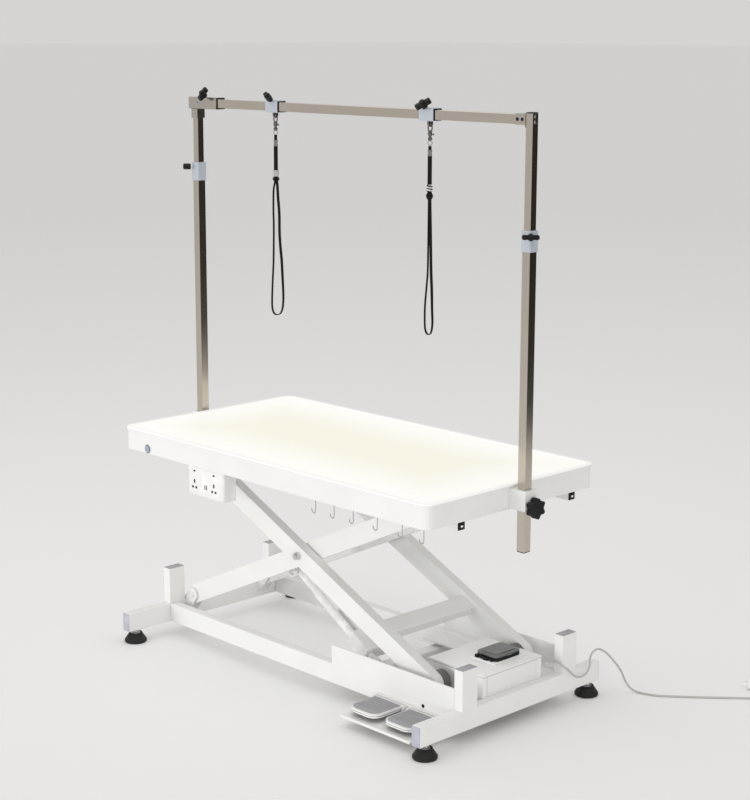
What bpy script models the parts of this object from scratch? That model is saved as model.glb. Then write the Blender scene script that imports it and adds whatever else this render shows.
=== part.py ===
"""Electric pet grooming table: scissor lift, lit table top and an arch with two leads.

Metres, +Z up. X runs along the table, -Y is the front where the pedals are.
The origin is on the floor under the middle of the table top.
"""
import math

import bmesh
import bpy
from mathutils import Matrix
from mathutils import Vector

# Gap left between neighbouring pieces, and round a turning pin; gap beside a turning arm or roller.
FIT = 0.0003
RUN_GAP = 0.0015
# How far a welded shape stays clear of a face it would share, and how far a cutter runs past what it opens.
SINK = 0.0005
OVERCUT = 0.010
# Rounded edge of tubes and sheet covers.
EDGE = 0.002

# Table top.
TABLE_LENGTH = 1.250
TABLE_WIDTH = 0.650
TABLE_CORNER = 0.030
PANEL_CORNER = 0.020
CAVITY_CORNER = 0.008
RIM_DEPTH = 0.008
RIM_PROUD = 0.0025
APRON_DEPTH = 0.065
APRON_WALL = 0.020
PANEL_INSET = 0.014
PANEL_THICK = 0.004
PANEL_SUNK = 0.001
TOP_OVER_PIVOT = 0.063

# Scissor lift.
LIFT_ANGLE = math.radians(25.0)
LIFT_TRAVEL = 0.22
LIFT_Y = 0.027
ARM_DEEP = 0.056
ARM_THICK = 0.030
ARM_GAP = 0.004
ARM_TO_RAIL = 0.003
DRAIN_RADIUS = 0.004
PIN_RADIUS = 0.008
EAR_THICK = 0.006
EAR_RADIUS = 0.020
EAR_SUNK = 0.004
PIN_PROUD = 0.0035
ROLLER_RADIUS = 0.030
ROLLER_WIDE = 0.026
ROLLER_EDGE = 0.002
KEEPER_PROUD = 0.004
KEEPER_THICK = 0.003
BOLT_HEAD = 0.011
BOLT_TALL = 0.009
OUTER_TIE_FROM_CENTRE = 0.350
OUTER_TIE_SIZE = (0.054, 0.030)
OUTER_TIE_CORNER = 0.004
INNER_TIE_BEFORE_CENTRE = 0.1215
INNER_TIE_RISE = 0.006
PUSH_PIN_DROP = 0.030
TIE_RADIUS = 0.017
LUG_GAP = 0.006
LUG_THICK = 0.006
LUG_RADIUS = 0.012

# Base of rectangular tubes.
TUBE_WIDE = 0.030
TUBE_TALL = 0.056
TUBE_WALL = 0.0025
BASE_SHORTER = 0.004
BASE_SHIFT = 0.011
BEAM_REACH = 0.352
BEAM_LOW = 0.038
STUB_TALL = 0.108
RAIL_HALF = 0.225
GUARD_TALL = 0.054
GUARD_THICK = 0.004
TRACK_LENGTH = 0.464
LEDGE_THICK = 0.006
PIVOT_FROM_BEAM = 0.032
ROLLER_FROM_BEAM = 0.12407
PIVOT_OVER_BEAM = 0.023
FOOT_RADIUS = 0.033
FOOT_INSET = 0.033
FOOT_NECK = 0.011
FOOT_STUD = 0.006

# Actuator between the base and the inner arms.
PUSH_Y = -0.080
MOUNT_FROM_BEAM = 0.414
MOUNT_OVER_TUBE = 0.014
MOUNT_TUBE_TALL = 0.028
MOUNT_TUBE_HALF = 0.020
MOUNT_RISE = 0.002
MOUNT_EAR_RADIUS = 0.011
MOUNT_EAR_THICK = 0.006
ROD_EYE_HALF = 0.007
ROD_EYE_LENGTH = 0.034
PUSH_PIN_RADIUS = 0.006
ROD_RADIUS = 0.009
SLEEVE_RADIUS = 0.012
SLEEVE_BORE = 0.0095
SLEEVE_START = 0.100
SLEEVE_FLOOR = 0.012
SLEEVE_END = 0.280
ROD_INSIDE = 0.187
MOTOR_RADIUS = 0.026
MOTOR_LENGTH = 0.100
MOTOR_BESIDE = 0.044
GEARBOX_START = 0.026
GEARBOX_SIDES = (-0.016, 0.072)
GEARBOX_HALF = 0.022
EYE_WALL = 0.005
EYE_HALF = 0.005
NECK_RADIUS = 0.0075

# Control box, switch unit and pedals.
BOX_LENGTH = 0.1987
GLAND_FROM_BEAM = 0.010
GLAND_LENGTH = 0.0145
GLAND_RADIUS = 0.0075
GLAND_TIP = 0.0042
GLAND_DROP = 0.027
BOX_HALF = 0.115
BOX_LOW = 0.050
BOX_TOP = 0.155
SWITCH_SIZE = (0.075, 0.100, 0.012)
SWITCH_CORNER_RADIUS = 0.012
WINDOW_INSET = 0.009
WINDOW_PROUD = 0.002
SWITCH_FROM_BEAM = 0.114
SWITCH_FRONT = 0.022
LID_THICK = 0.006
PEDAL_SIZE = (0.105, 0.110, 0.012)
PEDAL_TOE = 0.028
PEDAL_LAYER = 0.005
PEDAL_NECK = 0.0015
PAD_INSET = 0.005
PAD_PROUD = 0.002
RIB_PITCH = 0.011
RIB_GROOVE = 0.0025
RIB_DEPTH = 0.0012
RIB_COUNT = 7
PEDALS_FROM_BEAM = 0.274
PEDAL_PITCH = 0.130
PEDAL_LOW = 0.046
PEDAL_PLATE_LOW = 0.026
PEDAL_PLATE_THICK = 0.008
PEDAL_ROD_RADIUS = 0.003
PEDAL_HINGE_BACK = 0.0055
PEDAL_HINGE_OFF = 0.016
PEDAL_HINGE_UP = 0.006
PEDAL_LUG_WIDE = 0.006
PEDAL_LUG_HALF = 0.007
PEDAL_LUG_GAP = 0.001
PEDAL_PLATE_TOE = 0.014
PEDAL_WALL = 0.0055
PEDAL_WALL_RISE = 0.010

# Arch of two telescopic posts and a crossbar.
POST_FROM_TABLE = 0.031
POST_WIDE = 0.025
POST_WALL = 0.0011
POST_LENGTH = 0.801
POST_BELOW_LEFT = 0.011
POST_BELOW_RIGHT = 0.108
UPPER_WIDE = 0.022
UPPER_WALL = 0.0015
UPPER_INSIDE = 0.250
BAR_WIDE = 0.025
BAR_OVER_POST = 0.2025
SLEEVE_WALL = 0.004
CORNER_REACH = 0.105
CORNER_BEHIND = 0.023
CORNER_SOCKET_HALF = 0.014
CORNER_SOCKET_TALL = 0.028
CORNER_BLIND = 0.005
COLLAR_WIDE = 0.031
COLLAR_TALL = 0.054
CLAMP_TALL = 0.053
CLAMP_HALF = 0.0225
CLAMP_OUTER_WALL = 0.010
STAR_RADIUS = 0.028
STAR_THICK = 0.020
STAR_DROP = 0.0519
STAR_LOBES = 6
STAR_WAVE = 0.004
STAR_SCREW = 0.004
STAR_HUB = 0.013
STAR_STAND_OFF = 0.003
KNOB_SCREW = 0.0035
KNOB_STAND_OFF = 0.003
KNOB_TALL = 0.022
WING_REACH = 0.0215
COLLAR_WING_TURN = 90.0
CORNER_WING_TURN = 99.5
LASSO_WING_TURN = (-27.0, 40.5)
LASSO_LENGTH = 0.052
LASSO_X = (-0.305, 0.307)
EYE_THICK = 0.006
EYE_RADIUS = 0.008
EYE_HOLE = 0.0042
EYE_BELOW = 0.0075
RING_RADIUS = 0.0085
RING_WIRE = 0.0017
SNAP_LENGTH = 0.050
SPIN_RADIUS = 0.0020
SPIN_INSIDE = 0.0095
LEAD_DROP = (0.597, 0.578)
KNOT_DROP = 0.221
LEAD_WIDE = (0.027, 0.022)
STRAND = 0.0030
STRAND_IN_KNOT = 0.004

# Things under the apron.
SUBRAIL_WIDE = 0.025
SUBRAIL_GAP = 0.0105
SUBRAIL_SHORT = 0.013
WEB_THICK = 0.006
WEB_CLEAR = 0.003
FLANGE_PAST = 0.0105
SOCKET_FROM_END = 0.3075
SOCKET_SIZE = (0.1555, 0.047, 0.082)
OUTLET_FROM_LEFT = (0.0278, 0.1135)
LAMP_DROP = 0.011
EARTH_DROP = 0.041
LIVE_DROP = 0.058
LIVE_APART = 0.0075
USB_DROP = 0.051
USB_APART = 0.0038
OUTLET_DEEP = 0.006
LAMP_SLOT = (0.0035, 0.0016)
EARTH_SLOT = (0.0022, 0.0045)
LIVE_SLOT = (0.0032, 0.0024)
USB_SLOT = (0.0012, 0.0060)
HOOK_FROM_END = (0.435, 0.363, 0.290, 0.201, 0.111, 0.035)
HOOK_DROP = 0.044
HOOK_WIRE = 0.0018
HOOK_CURL = 0.0075
HOOK_TIP = 0.003
STRIP_THICK = 0.005
STRIP_LOW = 0.004
STRIP_HIGH = 0.016
STRIP_ENDS = (0.020, 0.0035)
BUTTON_FROM_END = 0.115
BUTTON_RADIUS = 0.010
BUTTON_DEEP = 0.007
BUTTON_TRAVEL = 0.0015
BUTTON_PROUD = 0.003
BUTTON_RISE = 0.0134

# Mains lead.
CORD_RADIUS = 0.0027
CORD_STEP = 0.0125
COIL_RADIUS = 0.0305
COIL_TURNS = 3
COIL_PITCH = 0.0061
LAYER_GAP = 0.0006
PLUG_RADIUS = 0.018
PLUG_LENGTH = 0.040
PRONG_RADIUS = 0.0024
PRONG_APART = 0.0095
PRONG_REACH = 0.019
TAIL_STEP = 0.0105

# Sizes that follow from the ones above.
BEAM_TOP = BEAM_LOW + TUBE_TALL
STUB_TOP = BEAM_TOP + STUB_TALL
BASE_LENGTH = TABLE_LENGTH - BASE_SHORTER
BEAM_LEFT = BASE_SHIFT - BASE_LENGTH / 2
BEAM_RIGHT = BASE_SHIFT + BASE_LENGTH / 2
RAIL_LEFT = BEAM_LEFT + TUBE_WIDE
RAIL_RIGHT = BEAM_RIGHT - TUBE_WIDE
RAIL_IN = RAIL_HALF - TUBE_WIDE
PIVOT_X = RAIL_LEFT + PIVOT_FROM_BEAM
PIVOT_Z = BEAM_TOP + PIVOT_OVER_BEAM
OUTER_OUT = RAIL_IN - ARM_TO_RAIL
OUTER_IN = OUTER_OUT - ARM_THICK
INNER_OUT = OUTER_IN - ARM_GAP
INNER_IN = INNER_OUT - ARM_THICK
ARM_RUN = RAIL_RIGHT - ROLLER_FROM_BEAM - PIVOT_X
ARM_RISE = ARM_RUN * math.tan(LIFT_ANGLE)
ARM_SPAN = ARM_RUN / math.cos(LIFT_ANGLE)
TABLE_PIVOT_Z = PIVOT_Z + ARM_RISE
ROLL_X = PIVOT_X + ARM_RUN
CENTRE_X = PIVOT_X + ARM_RUN / 2
CENTRE_Z = PIVOT_Z + ARM_RISE / 2
TRACK_TOP = PIVOT_Z - ROLLER_RADIUS - FIT
TRACK_UNDER = TABLE_PIVOT_Z + ROLLER_RADIUS + FIT
TABLE_TOP = TABLE_PIVOT_Z + TOP_OVER_PIVOT
APRON_LOW = TABLE_TOP - APRON_DEPTH
DECK_LOW = TRACK_UNDER + LEDGE_THICK + FIT
APRON_END = TABLE_LENGTH / 2 - RIM_PROUD
APRON_FRONT = TABLE_WIDTH / 2 - RIM_PROUD
INNER_END = APRON_END - APRON_WALL
INNER_FRONT = APRON_FRONT - APRON_WALL
TRACK_START = RAIL_RIGHT - TRACK_LENGTH
INNER_TIE_FROM_PIVOT = ARM_SPAN / 2 - INNER_TIE_BEFORE_CENTRE
MOUNT_X = RAIL_RIGHT - MOUNT_FROM_BEAM
SWITCH_LEFT = RAIL_RIGHT - SWITCH_FROM_BEAM
SWITCH_NEAR = LIFT_Y - SWITCH_FRONT
PEDAL_LEFT_X = RAIL_RIGHT - PEDALS_FROM_BEAM
SOCKET_LEFT = SOCKET_FROM_END - TABLE_LENGTH / 2
HOOK_X = tuple(TABLE_LENGTH / 2 - reach for reach in HOOK_FROM_END)
BUTTON_X = BUTTON_FROM_END - TABLE_LENGTH / 2
POST_X = TABLE_LENGTH / 2 + POST_FROM_TABLE
POST_LOW_LEFT = APRON_LOW - POST_BELOW_LEFT
POST_LOW_RIGHT = APRON_LOW - POST_BELOW_RIGHT
BAR_Z = POST_LOW_LEFT + POST_LENGTH + BAR_OVER_POST
ARCH_TOP = BAR_Z + BAR_WIDE / 2 + KNOB_STAND_OFF
CORNER_RIGHT = CORNER_REACH - POST_X
CORNER_LEFT = -POST_X - CORNER_BEHIND
LEAD_LOW = tuple(BAR_Z - drop for drop in LEAD_DROP)
BAR_HOLE = BAR_WIDE / 2 + FIT
BAR_SLEEVE = BAR_HOLE + SLEEVE_WALL

GREY = (0.62, 0.62, 0.64)
WHITE = (0.90, 0.90, 0.89)
BLACK = (0.02, 0.02, 0.02)
STEEL = (0.70, 0.69, 0.67)
LILAC = (0.66, 0.69, 0.76)
RUBBER = (0.03, 0.03, 0.03)
LID_GREY = (0.20, 0.20, 0.21)
PANEL_LIGHT = (0.98, 0.96, 0.88)

for leftover in list(bpy.data.objects):
    bpy.data.objects.remove(leftover, do_unlink=True)


def new_collection(name):
    """Make a collection under the scene's own."""
    group = bpy.data.collections.new(name)
    bpy.context.scene.collection.children.link(group)
    return group


TABLE = new_collection("grooming_table")
CUTTERS = new_collection("cutters")


def side(distance, sign):
    """Y of a point at a distance from the lift's middle plane, front or rear."""
    return LIFT_Y + sign * distance


def box(low, high):
    """Closed box between two corners, given in any order."""
    first = Vector(min(a, b) for a, b in zip(low, high))
    last = Vector(max(a, b) for a, b in zip(low, high))
    form = bmesh.new()
    bmesh.ops.create_cube(form, size=1.0)
    bmesh.ops.scale(form, vec=last - first, verts=form.verts)
    bmesh.ops.translate(form, vec=(first + last) / 2, verts=form.verts)
    return form


def as_form(holder, frame):
    """Mesh of a temporary curve or profile object as Blender evaluates it, placed by a frame."""
    CUTTERS.objects.link(holder)
    seen = holder.evaluated_get(bpy.context.evaluated_depsgraph_get())
    mesh = bpy.data.meshes.new_from_object(seen)
    form = bmesh.new()
    form.from_mesh(mesh)
    bmesh.ops.remove_doubles(form, verts=form.verts, dist=1e-6)
    bmesh.ops.transform(form, matrix=frame, verts=form.verts)
    bpy.data.objects.remove(holder, do_unlink=True)
    bpy.data.meshes.remove(mesh)
    return form


def slab(loops, start, end, frame=Matrix()):
    """Prism from an outline and its holes, drawn as a 2D curve in the local XY plane."""
    curve = bpy.data.curves.new("outline", "CURVE")
    curve.dimensions = "2D"
    curve.fill_mode = "BOTH"
    curve.extrude = (end - start) / 2
    for loop in loops:
        spline = curve.splines.new("POLY")
        spline.points.add(len(loop) - 1)
        spline.use_cyclic_u = True
        for slot, (u, v) in zip(spline.points, loop):
            slot.co = (u, v, 0.0, 1.0)
    middle_height = Matrix.Translation(Vector((0, 0, (start + end) / 2)))
    return as_form(bpy.data.objects.new("outline", curve), frame @ middle_height)


def turned(profile, frame, steps=20, ring=False):
    """Solid of revolution about the frame's Z from (radius, height) points, by a Screw modifier."""
    line = bmesh.new()
    spots = [line.verts.new((radius, 0, height)) for radius, height in profile]
    for here, after in zip(spots, spots[1:] + spots[:1] if ring else spots[1:]):
        line.edges.new((here, after))
    mesh = bpy.data.meshes.new("profile")
    line.to_mesh(mesh)
    line.free()
    holder = bpy.data.objects.new("profile", mesh)
    screw = holder.modifiers.new("turn", "SCREW")
    screw.axis = "Z"
    screw.steps = steps
    screw.render_steps = steps
    screw.use_merge_vertices = True
    screw.merge_threshold = 1e-5
    return as_form(holder, frame)


def swept(points, radius, resolution, cyclic=False):
    """Round tube along points, from a POLY curve with a bevel and filled ends."""
    curve = bpy.data.curves.new("path", "CURVE")
    curve.dimensions = "3D"
    curve.bevel_depth = radius
    curve.bevel_resolution = resolution
    curve.use_fill_caps = not cyclic
    spline = curve.splines.new("POLY")
    spline.points.add(len(points) - 1)
    spline.use_cyclic_u = cyclic
    for slot, point in zip(spline.points, points):
        slot.co = (point[0], point[1], point[2], 1.0)
    return as_form(bpy.data.objects.new("path", curve), Matrix())


def merged(*forms):
    """Several separate closed shapes in one mesh."""
    whole = bmesh.new()
    for form in forms:
        mesh = bpy.data.meshes.new("piece")
        form.to_mesh(mesh)
        form.free()
        whole.from_mesh(mesh)
        bpy.data.meshes.remove(mesh)
    return whole


def keep(name, form, group):
    """Turn a shape into a named object with outward faces."""
    bmesh.ops.recalc_face_normals(form, faces=form.faces)
    mesh = bpy.data.meshes.new(name)
    form.to_mesh(mesh)
    form.free()
    mesh.shade_smooth()
    mesh.set_sharp_from_angle(angle=math.radians(35))
    item = bpy.data.objects.new(name, mesh)
    group.objects.link(item)
    return item


def part(name, form, colour, roughness=0.4, metallic=0.0, bevel=0.0, at=(0, 0, 0)):
    """A named piece with its own material and its origin where it turns or slides."""
    centre = Vector(at)
    bmesh.ops.translate(form, vec=-centre, verts=form.verts)
    item = keep(name, form, TABLE)
    item.location = centre
    paint = bpy.data.materials.new(name)
    paint.use_nodes = True
    shader = paint.node_tree.nodes["Principled BSDF"]
    shader.inputs["Base Color"].default_value = (colour[0], colour[1], colour[2], 1.0)
    shader.inputs["Roughness"].default_value = roughness
    shader.inputs["Metallic"].default_value = metallic
    item.data.materials.append(paint)
    if bevel > 0:
        soft = item.modifiers.new("soft_edges", "BEVEL")
        soft.width = bevel
        soft.segments = 1
        soft.limit_method = "ANGLE"
        soft.angle_limit = math.radians(40)
    return item


def combine(item, form, operation):
    """Weld a shape to a piece (UNION) or cut it away (DIFFERENCE)."""
    number = len(item.modifiers)
    tool = keep(item.name + "_tool_" + str(number), form, CUTTERS)
    tool.hide_render = True
    tool.display_type = "WIRE"
    step = item.modifiers.new("tool_" + str(number), "BOOLEAN")
    step.operation = operation
    step.solver = "EXACT"
    step.object = tool


def weld(item, form):
    combine(item, form, "UNION")


def cut(item, form):
    combine(item, form, "DIFFERENCE")


def frame_along(origin, axis, across=(0, 0, 1)):
    """Matrix whose Z runs along an axis and whose X is as near to across as it can be."""
    w = Vector(axis).normalized()
    u = Vector(across) - w * Vector(across).dot(w)
    if u.length < 1e-6:
        u = Vector((1, 0, 0)) - w * w.x
    u.normalize()
    v = w.cross(u)
    turn = Matrix((u, v, w)).transposed().to_4x4()
    return Matrix.Translation(Vector(origin)) @ turn


def upright(y_start):
    """Frame whose local XY is the world XZ plane and whose local Z runs along -Y."""
    turn = Matrix(((1, 0, 0), (0, 0, -1), (0, 1, 0))).to_4x4()
    return Matrix.Translation(Vector((0, y_start, 0))) @ turn


def plate(loops, y_first, y_last):
    """Prism of outlines in the XZ plane between two Y values."""
    low = min(y_first, y_last)
    high = max(y_first, y_last)
    return slab(loops, 0.0, high - low, upright(high))


def circle(x, z, radius, count=20):
    """Points of a circle in a plane."""
    return [(x + radius * math.cos(math.tau * k / count), z + radius * math.sin(math.tau * k / count))
            for k in range(count)]


def stadium(first, last, radius, count=8):
    """Outline of a bar with round ends."""
    heading = math.atan2(last[1] - first[1], last[0] - first[0])
    points = []
    for centre, turn in ((last, -math.pi / 2), (first, math.pi / 2)):
        for k in range(count + 1):
            angle = heading + turn + math.pi * k / count
            points.append((centre[0] + radius * math.cos(angle), centre[1] + radius * math.sin(angle)))
    return points


def tongue(x, z, radius, top, count=8):
    """Outline of an ear that hangs from above and ends in a half circle."""
    points = [(x + radius, top), (x - radius, top)]
    for k in range(count + 1):
        angle = math.pi + math.pi * k / count
        points.append((x + radius * math.cos(angle), z + radius * math.sin(angle)))
    return points


def rounded(half_x, half_y, radius, count=5):
    """Outline of a rectangle with round corners, centred on the origin."""
    points = []
    for sx, sy, start in ((1, 1, 0.0), (-1, 1, 0.5), (-1, -1, 1.0), (1, -1, 1.5)):
        for k in range(count + 1):
            angle = math.pi * (start + 0.5 * k / count)
            points.append((sx * (half_x - radius) + radius * math.cos(angle),
                           sy * (half_y - radius) + radius * math.sin(angle)))
    return points


def square(x, y, half):
    """Outline of a square."""
    return [(x - half, y - half), (x + half, y - half), (x + half, y + half), (x - half, y + half)]


def round_bar(frame, radius, start, end, steps=20):
    """Plain round bar along the frame's Z."""
    return turned([(0, start), (radius, start), (radius, end), (0, end)], frame, steps)


def pin_along_y(x, z, radius, y_first, y_last, steps=20):
    """Plain round pin across the lift."""
    low = min(y_first, y_last)
    high = max(y_first, y_last)
    return round_bar(frame_along((x, low, z), (0, 1, 0)), radius, 0.0, high - low, steps)


# Base: two crossbeams with stubs, and two rails between them.
def stubs(x_low, x_high):
    """Two uprights on a crossbeam, a hair narrower than the beam."""
    pieces = []
    for sign in (-1, 1):
        pieces.append(box((x_low + SINK, side(RAIL_HALF - TUBE_TALL, sign), BEAM_TOP - OVERCUT),
                          (x_high - SINK, side(RAIL_HALF, sign), STUB_TOP)))
    return pieces


def hollow_beam(beam, x_low, x_high):
    """Open the beam from end to end and its two stubs from above."""
    cut(beam, box((x_low + TUBE_WALL, -BEAM_REACH - OVERCUT, BEAM_LOW + TUBE_WALL),
                  (x_high - TUBE_WALL, BEAM_REACH + OVERCUT, BEAM_TOP - TUBE_WALL)))
    wells = []
    for sign in (-1, 1):
        near = side(RAIL_HALF - TUBE_TALL + TUBE_WALL, sign)
        far = side(RAIL_HALF - TUBE_WALL, sign)
        wells.append(box((x_low + TUBE_WALL + SINK, near, BEAM_TOP - 2 * TUBE_WALL),
                         (x_high - TUBE_WALL - SINK, far, STUB_TOP + OVERCUT)))
    cut(beam, merged(*wells))


left_beam = part("crossbeam_left", box((BEAM_LEFT, -BEAM_REACH, BEAM_LOW),
                                       (RAIL_LEFT, BEAM_REACH, BEAM_TOP)), WHITE, bevel=EDGE)
ear_root = (RAIL_LEFT - EAR_RADIUS / 2, BEAM_TOP - EAR_RADIUS - EAR_SUNK)
ear_sides = ((INNER_IN - RUN_GAP - EAR_THICK, INNER_IN - RUN_GAP),
             (INNER_OUT + RUN_GAP, INNER_OUT + RUN_GAP + EAR_THICK))
ears = []
pins = []
for sign in (-1, 1):
    ear_outline = stadium(ear_root, (PIVOT_X, PIVOT_Z), EAR_RADIUS)
    for near, far in ear_sides:
        ears.append(plate([ear_outline], side(near, sign), side(far, sign)))
    pins.append(pin_along_y(PIVOT_X, PIVOT_Z, PIN_RADIUS, side(ear_sides[0][0] - PIN_PROUD, sign),
                            side(ear_sides[1][1] + PIN_PROUD, sign)))
weld(left_beam, merged(*stubs(BEAM_LEFT, RAIL_LEFT), *ears))
weld(left_beam, merged(*pins))
hollow_beam(left_beam, BEAM_LEFT, RAIL_LEFT)

right_beam = part("crossbeam_right", box((RAIL_RIGHT, -BEAM_REACH, BEAM_LOW),
                                         (BEAM_RIGHT, BEAM_REACH, BEAM_TOP)), WHITE, bevel=EDGE)
weld(right_beam, merged(*stubs(RAIL_RIGHT, BEAM_RIGHT)))
hollow_beam(right_beam, RAIL_RIGHT, BEAM_RIGHT)

for name, sign in (("base_rail_front", -1), ("base_rail_rear", 1)):
    rail = part(name, box((RAIL_LEFT + FIT, side(RAIL_IN, sign), BEAM_LOW),
                          (RAIL_RIGHT - FIT, side(RAIL_HALF, sign), BEAM_TOP)), WHITE, bevel=EDGE)
    track_end = RAIL_RIGHT - FIT - SINK
    weld(rail, box((TRACK_START, side(RAIL_HALF - GUARD_THICK - SINK, sign), BEAM_TOP - OVERCUT),
                   (track_end, side(RAIL_HALF - SINK, sign), BEAM_TOP + GUARD_TALL)))
    weld(rail, box((TRACK_START, side(INNER_IN, sign), TRACK_TOP - LEDGE_THICK),
                   (track_end, side(RAIL_IN + LEDGE_THICK, sign), TRACK_TOP)))
    cut(rail, box((RAIL_LEFT - OVERCUT, side(RAIL_IN + TUBE_WALL, sign), BEAM_LOW + TUBE_WALL),
                  (RAIL_RIGHT + OVERCUT, side(RAIL_HALF - TUBE_WALL, sign), BEAM_TOP - TUBE_WALL)))

# Levelling feet under the ends of the crossbeams: a rubber bell with a nut on a threaded stud.
FOOT_PROFILE = [(0, 0), (FOOT_RADIUS - EDGE, 0), (FOOT_RADIUS, 0.003), (FOOT_RADIUS, 0.008),
                (2 * FOOT_NECK, 0.024), (FOOT_NECK, 0.026), (FOOT_NECK, 0.034), (FOOT_STUD, 0.034),
                (FOOT_STUD, BEAM_LOW - FIT), (0, BEAM_LOW - FIT)]
for name, x, sign in (("foot_front_left", BEAM_LEFT + TUBE_WIDE / 2, -1),
                      ("foot_front_right", BEAM_RIGHT - TUBE_WIDE / 2, -1),
                      ("foot_rear_left", BEAM_LEFT + TUBE_WIDE / 2, 1),
                      ("foot_rear_right", BEAM_RIGHT - TUBE_WIDE / 2, 1)):
    spot = (x, sign * (BEAM_REACH - FOOT_INSET), 0)
    part(name, turned(FOOT_PROFILE, frame_along(spot, (0, 0, 1), (1, 0, 0))), RUBBER, 0.6, at=spot)

# Inner arms: two bars with roller axles, and a tie tube with the lugs that the actuator pushes.
inner_line = (math.cos(LIFT_ANGLE), math.sin(LIFT_ANGLE))
inner_down = (math.sin(LIFT_ANGLE), -math.cos(LIFT_ANGLE))
INNER_AT = (PIVOT_X, LIFT_Y, PIVOT_Z)
OUTER_AT = (CENTRE_X, LIFT_Y, CENTRE_Z)
TABLE_AT = (PIVOT_X, LIFT_Y, TABLE_PIVOT_Z)


def on_inner(along, down):
    """Point on the inner arms, from the fixed pivot along the arm and square to it."""
    return (PIVOT_X + along * inner_line[0] + down * inner_down[0],
            PIVOT_Z + along * inner_line[1] + down * inner_down[1])


def axle(x, z, arm_face, direction, sign):
    """Roller axle with a keeper head, from inside an arm's face along the lift's width."""
    root = Vector((x, side(arm_face - direction * KEEPER_PROUD, sign), z))
    reach = KEEPER_PROUD + RUN_GAP + ROLLER_WIDE + SINK
    head = PIN_RADIUS + KEEPER_PROUD
    return turned([(0, 0), (PIN_RADIUS, 0), (PIN_RADIUS, reach), (head, reach), (head, reach + KEEPER_THICK),
                   (0, reach + KEEPER_THICK)], frame_along(root, (0, direction * sign, 0)))


def hollow_arm(bar, first, last, near, far, sign):
    """Empty an arm on both sides of its middle, with a drain hole in its rear face for each side."""
    span = Vector(last) - Vector(first)
    way = span.normalized()
    half = span.length / 2
    rear = max(side(near, sign), side(far, sign))
    pockets = []
    drains = []
    for low, high in ((ARM_DEEP, half - ARM_DEEP), (half + ARM_DEEP, span.length - ARM_DEEP)):
        start = Vector(first) + way * low
        stop = Vector(first) + way * high
        middle_x, middle_z = start.lerp(stop, 0.5)
        pockets.append(plate([stadium(start, stop, ARM_DEEP / 2 - TUBE_WALL)], side(near + TUBE_WALL, sign),
                             side(far - TUBE_WALL, sign)))
        drains.append(pin_along_y(middle_x, middle_z, DRAIN_RADIUS, rear - 2 * TUBE_WALL, rear + TUBE_WALL, 12))
    cut(bar, merged(*pockets))
    cut(bar, merged(*drains))


bore = PIN_RADIUS + FIT
low_left = (PIVOT_X, PIVOT_Z)
high_left = (PIVOT_X, TABLE_PIVOT_Z)
low_right = (ROLL_X, PIVOT_Z)
high_right = (ROLL_X, TABLE_PIVOT_Z)
middle = (CENTRE_X, CENTRE_Z)
inner_loops = [stadium(low_left, high_right, ARM_DEEP / 2), circle(*low_left, bore), circle(*middle, bore)]
for name, sign in (("inner_arm_front", -1), ("inner_arm_rear", 1)):
    bar = part(name, plate(inner_loops, side(INNER_IN, sign), side(INNER_OUT, sign)), WHITE, at=INNER_AT)
    weld(bar, axle(*high_right, INNER_OUT, 1, sign))
    hollow_arm(bar, low_left, high_right, INNER_IN, INNER_OUT, sign)
tie = on_inner(INNER_TIE_FROM_PIVOT, -INNER_TIE_RISE)
push = on_inner(INNER_TIE_FROM_PIVOT, PUSH_PIN_DROP)
tie_half = INNER_IN - FIT
inner_tie = part("inner_tie", pin_along_y(*tie, TIE_RADIUS, side(tie_half, -1), side(tie_half, 1)), WHITE,
                 at=INNER_AT)
push_lugs = []
for hand in (-1, 1):
    push_lugs.append(plate([stadium(tie, push, LUG_RADIUS)], PUSH_Y + hand * LUG_GAP,
                           PUSH_Y + hand * (LUG_GAP + LUG_THICK)))
weld(inner_tie, merged(*push_lugs))
push_reach = LUG_GAP + LUG_THICK + EDGE
weld(inner_tie, pin_along_y(*push, PUSH_PIN_RADIUS, PUSH_Y - push_reach, PUSH_Y + push_reach))

# Outer arms: two bars that carry the pivot bolts and roller axles, and a rectangular tie tube.
outer_line = (math.cos(LIFT_ANGLE), -math.sin(LIFT_ANGLE))
outer_loops = [stadium(high_left, low_right, ARM_DEEP / 2), circle(*high_left, bore)]
nut_face = INNER_IN - FIT - BOLT_TALL
bolt_long = OUTER_OUT + BOLT_TALL - nut_face
BOLT_PROFILE = [(0, 0), (BOLT_HEAD, 0), (BOLT_HEAD, BOLT_TALL), (PIN_RADIUS, BOLT_TALL),
                (PIN_RADIUS, bolt_long - BOLT_TALL - EDGE), (BOLT_HEAD, bolt_long - BOLT_TALL - EDGE),
                (BOLT_HEAD, bolt_long - EDGE), (BOLT_HEAD - EDGE, bolt_long), (0, bolt_long)]
for name, sign in (("outer_arm_front", -1), ("outer_arm_rear", 1)):
    bar = part(name, plate(outer_loops, side(OUTER_IN, sign), side(OUTER_OUT, sign)), WHITE, at=OUTER_AT)
    bolt = turned(BOLT_PROFILE, frame_along((CENTRE_X, side(nut_face, sign), CENTRE_Z), (0, sign, 0)))
    weld(bar, merged(bolt, axle(*low_right, OUTER_IN, -1, sign)))
    hollow_arm(bar, high_left, low_right, OUTER_IN, OUTER_OUT, sign)
outer_tie_half = OUTER_IN - FIT
outer_tie_at = (CENTRE_X + OUTER_TIE_FROM_CENTRE * outer_line[0], side(outer_tie_half, 1),
                CENTRE_Z + OUTER_TIE_FROM_CENTRE * outer_line[1])
outer_tie_frame = frame_along(outer_tie_at, (0, -1, 0), (outer_line[0], 0, outer_line[1]))
tie_outer = rounded(OUTER_TIE_SIZE[0] / 2, OUTER_TIE_SIZE[1] / 2, OUTER_TIE_CORNER, 3)
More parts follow.
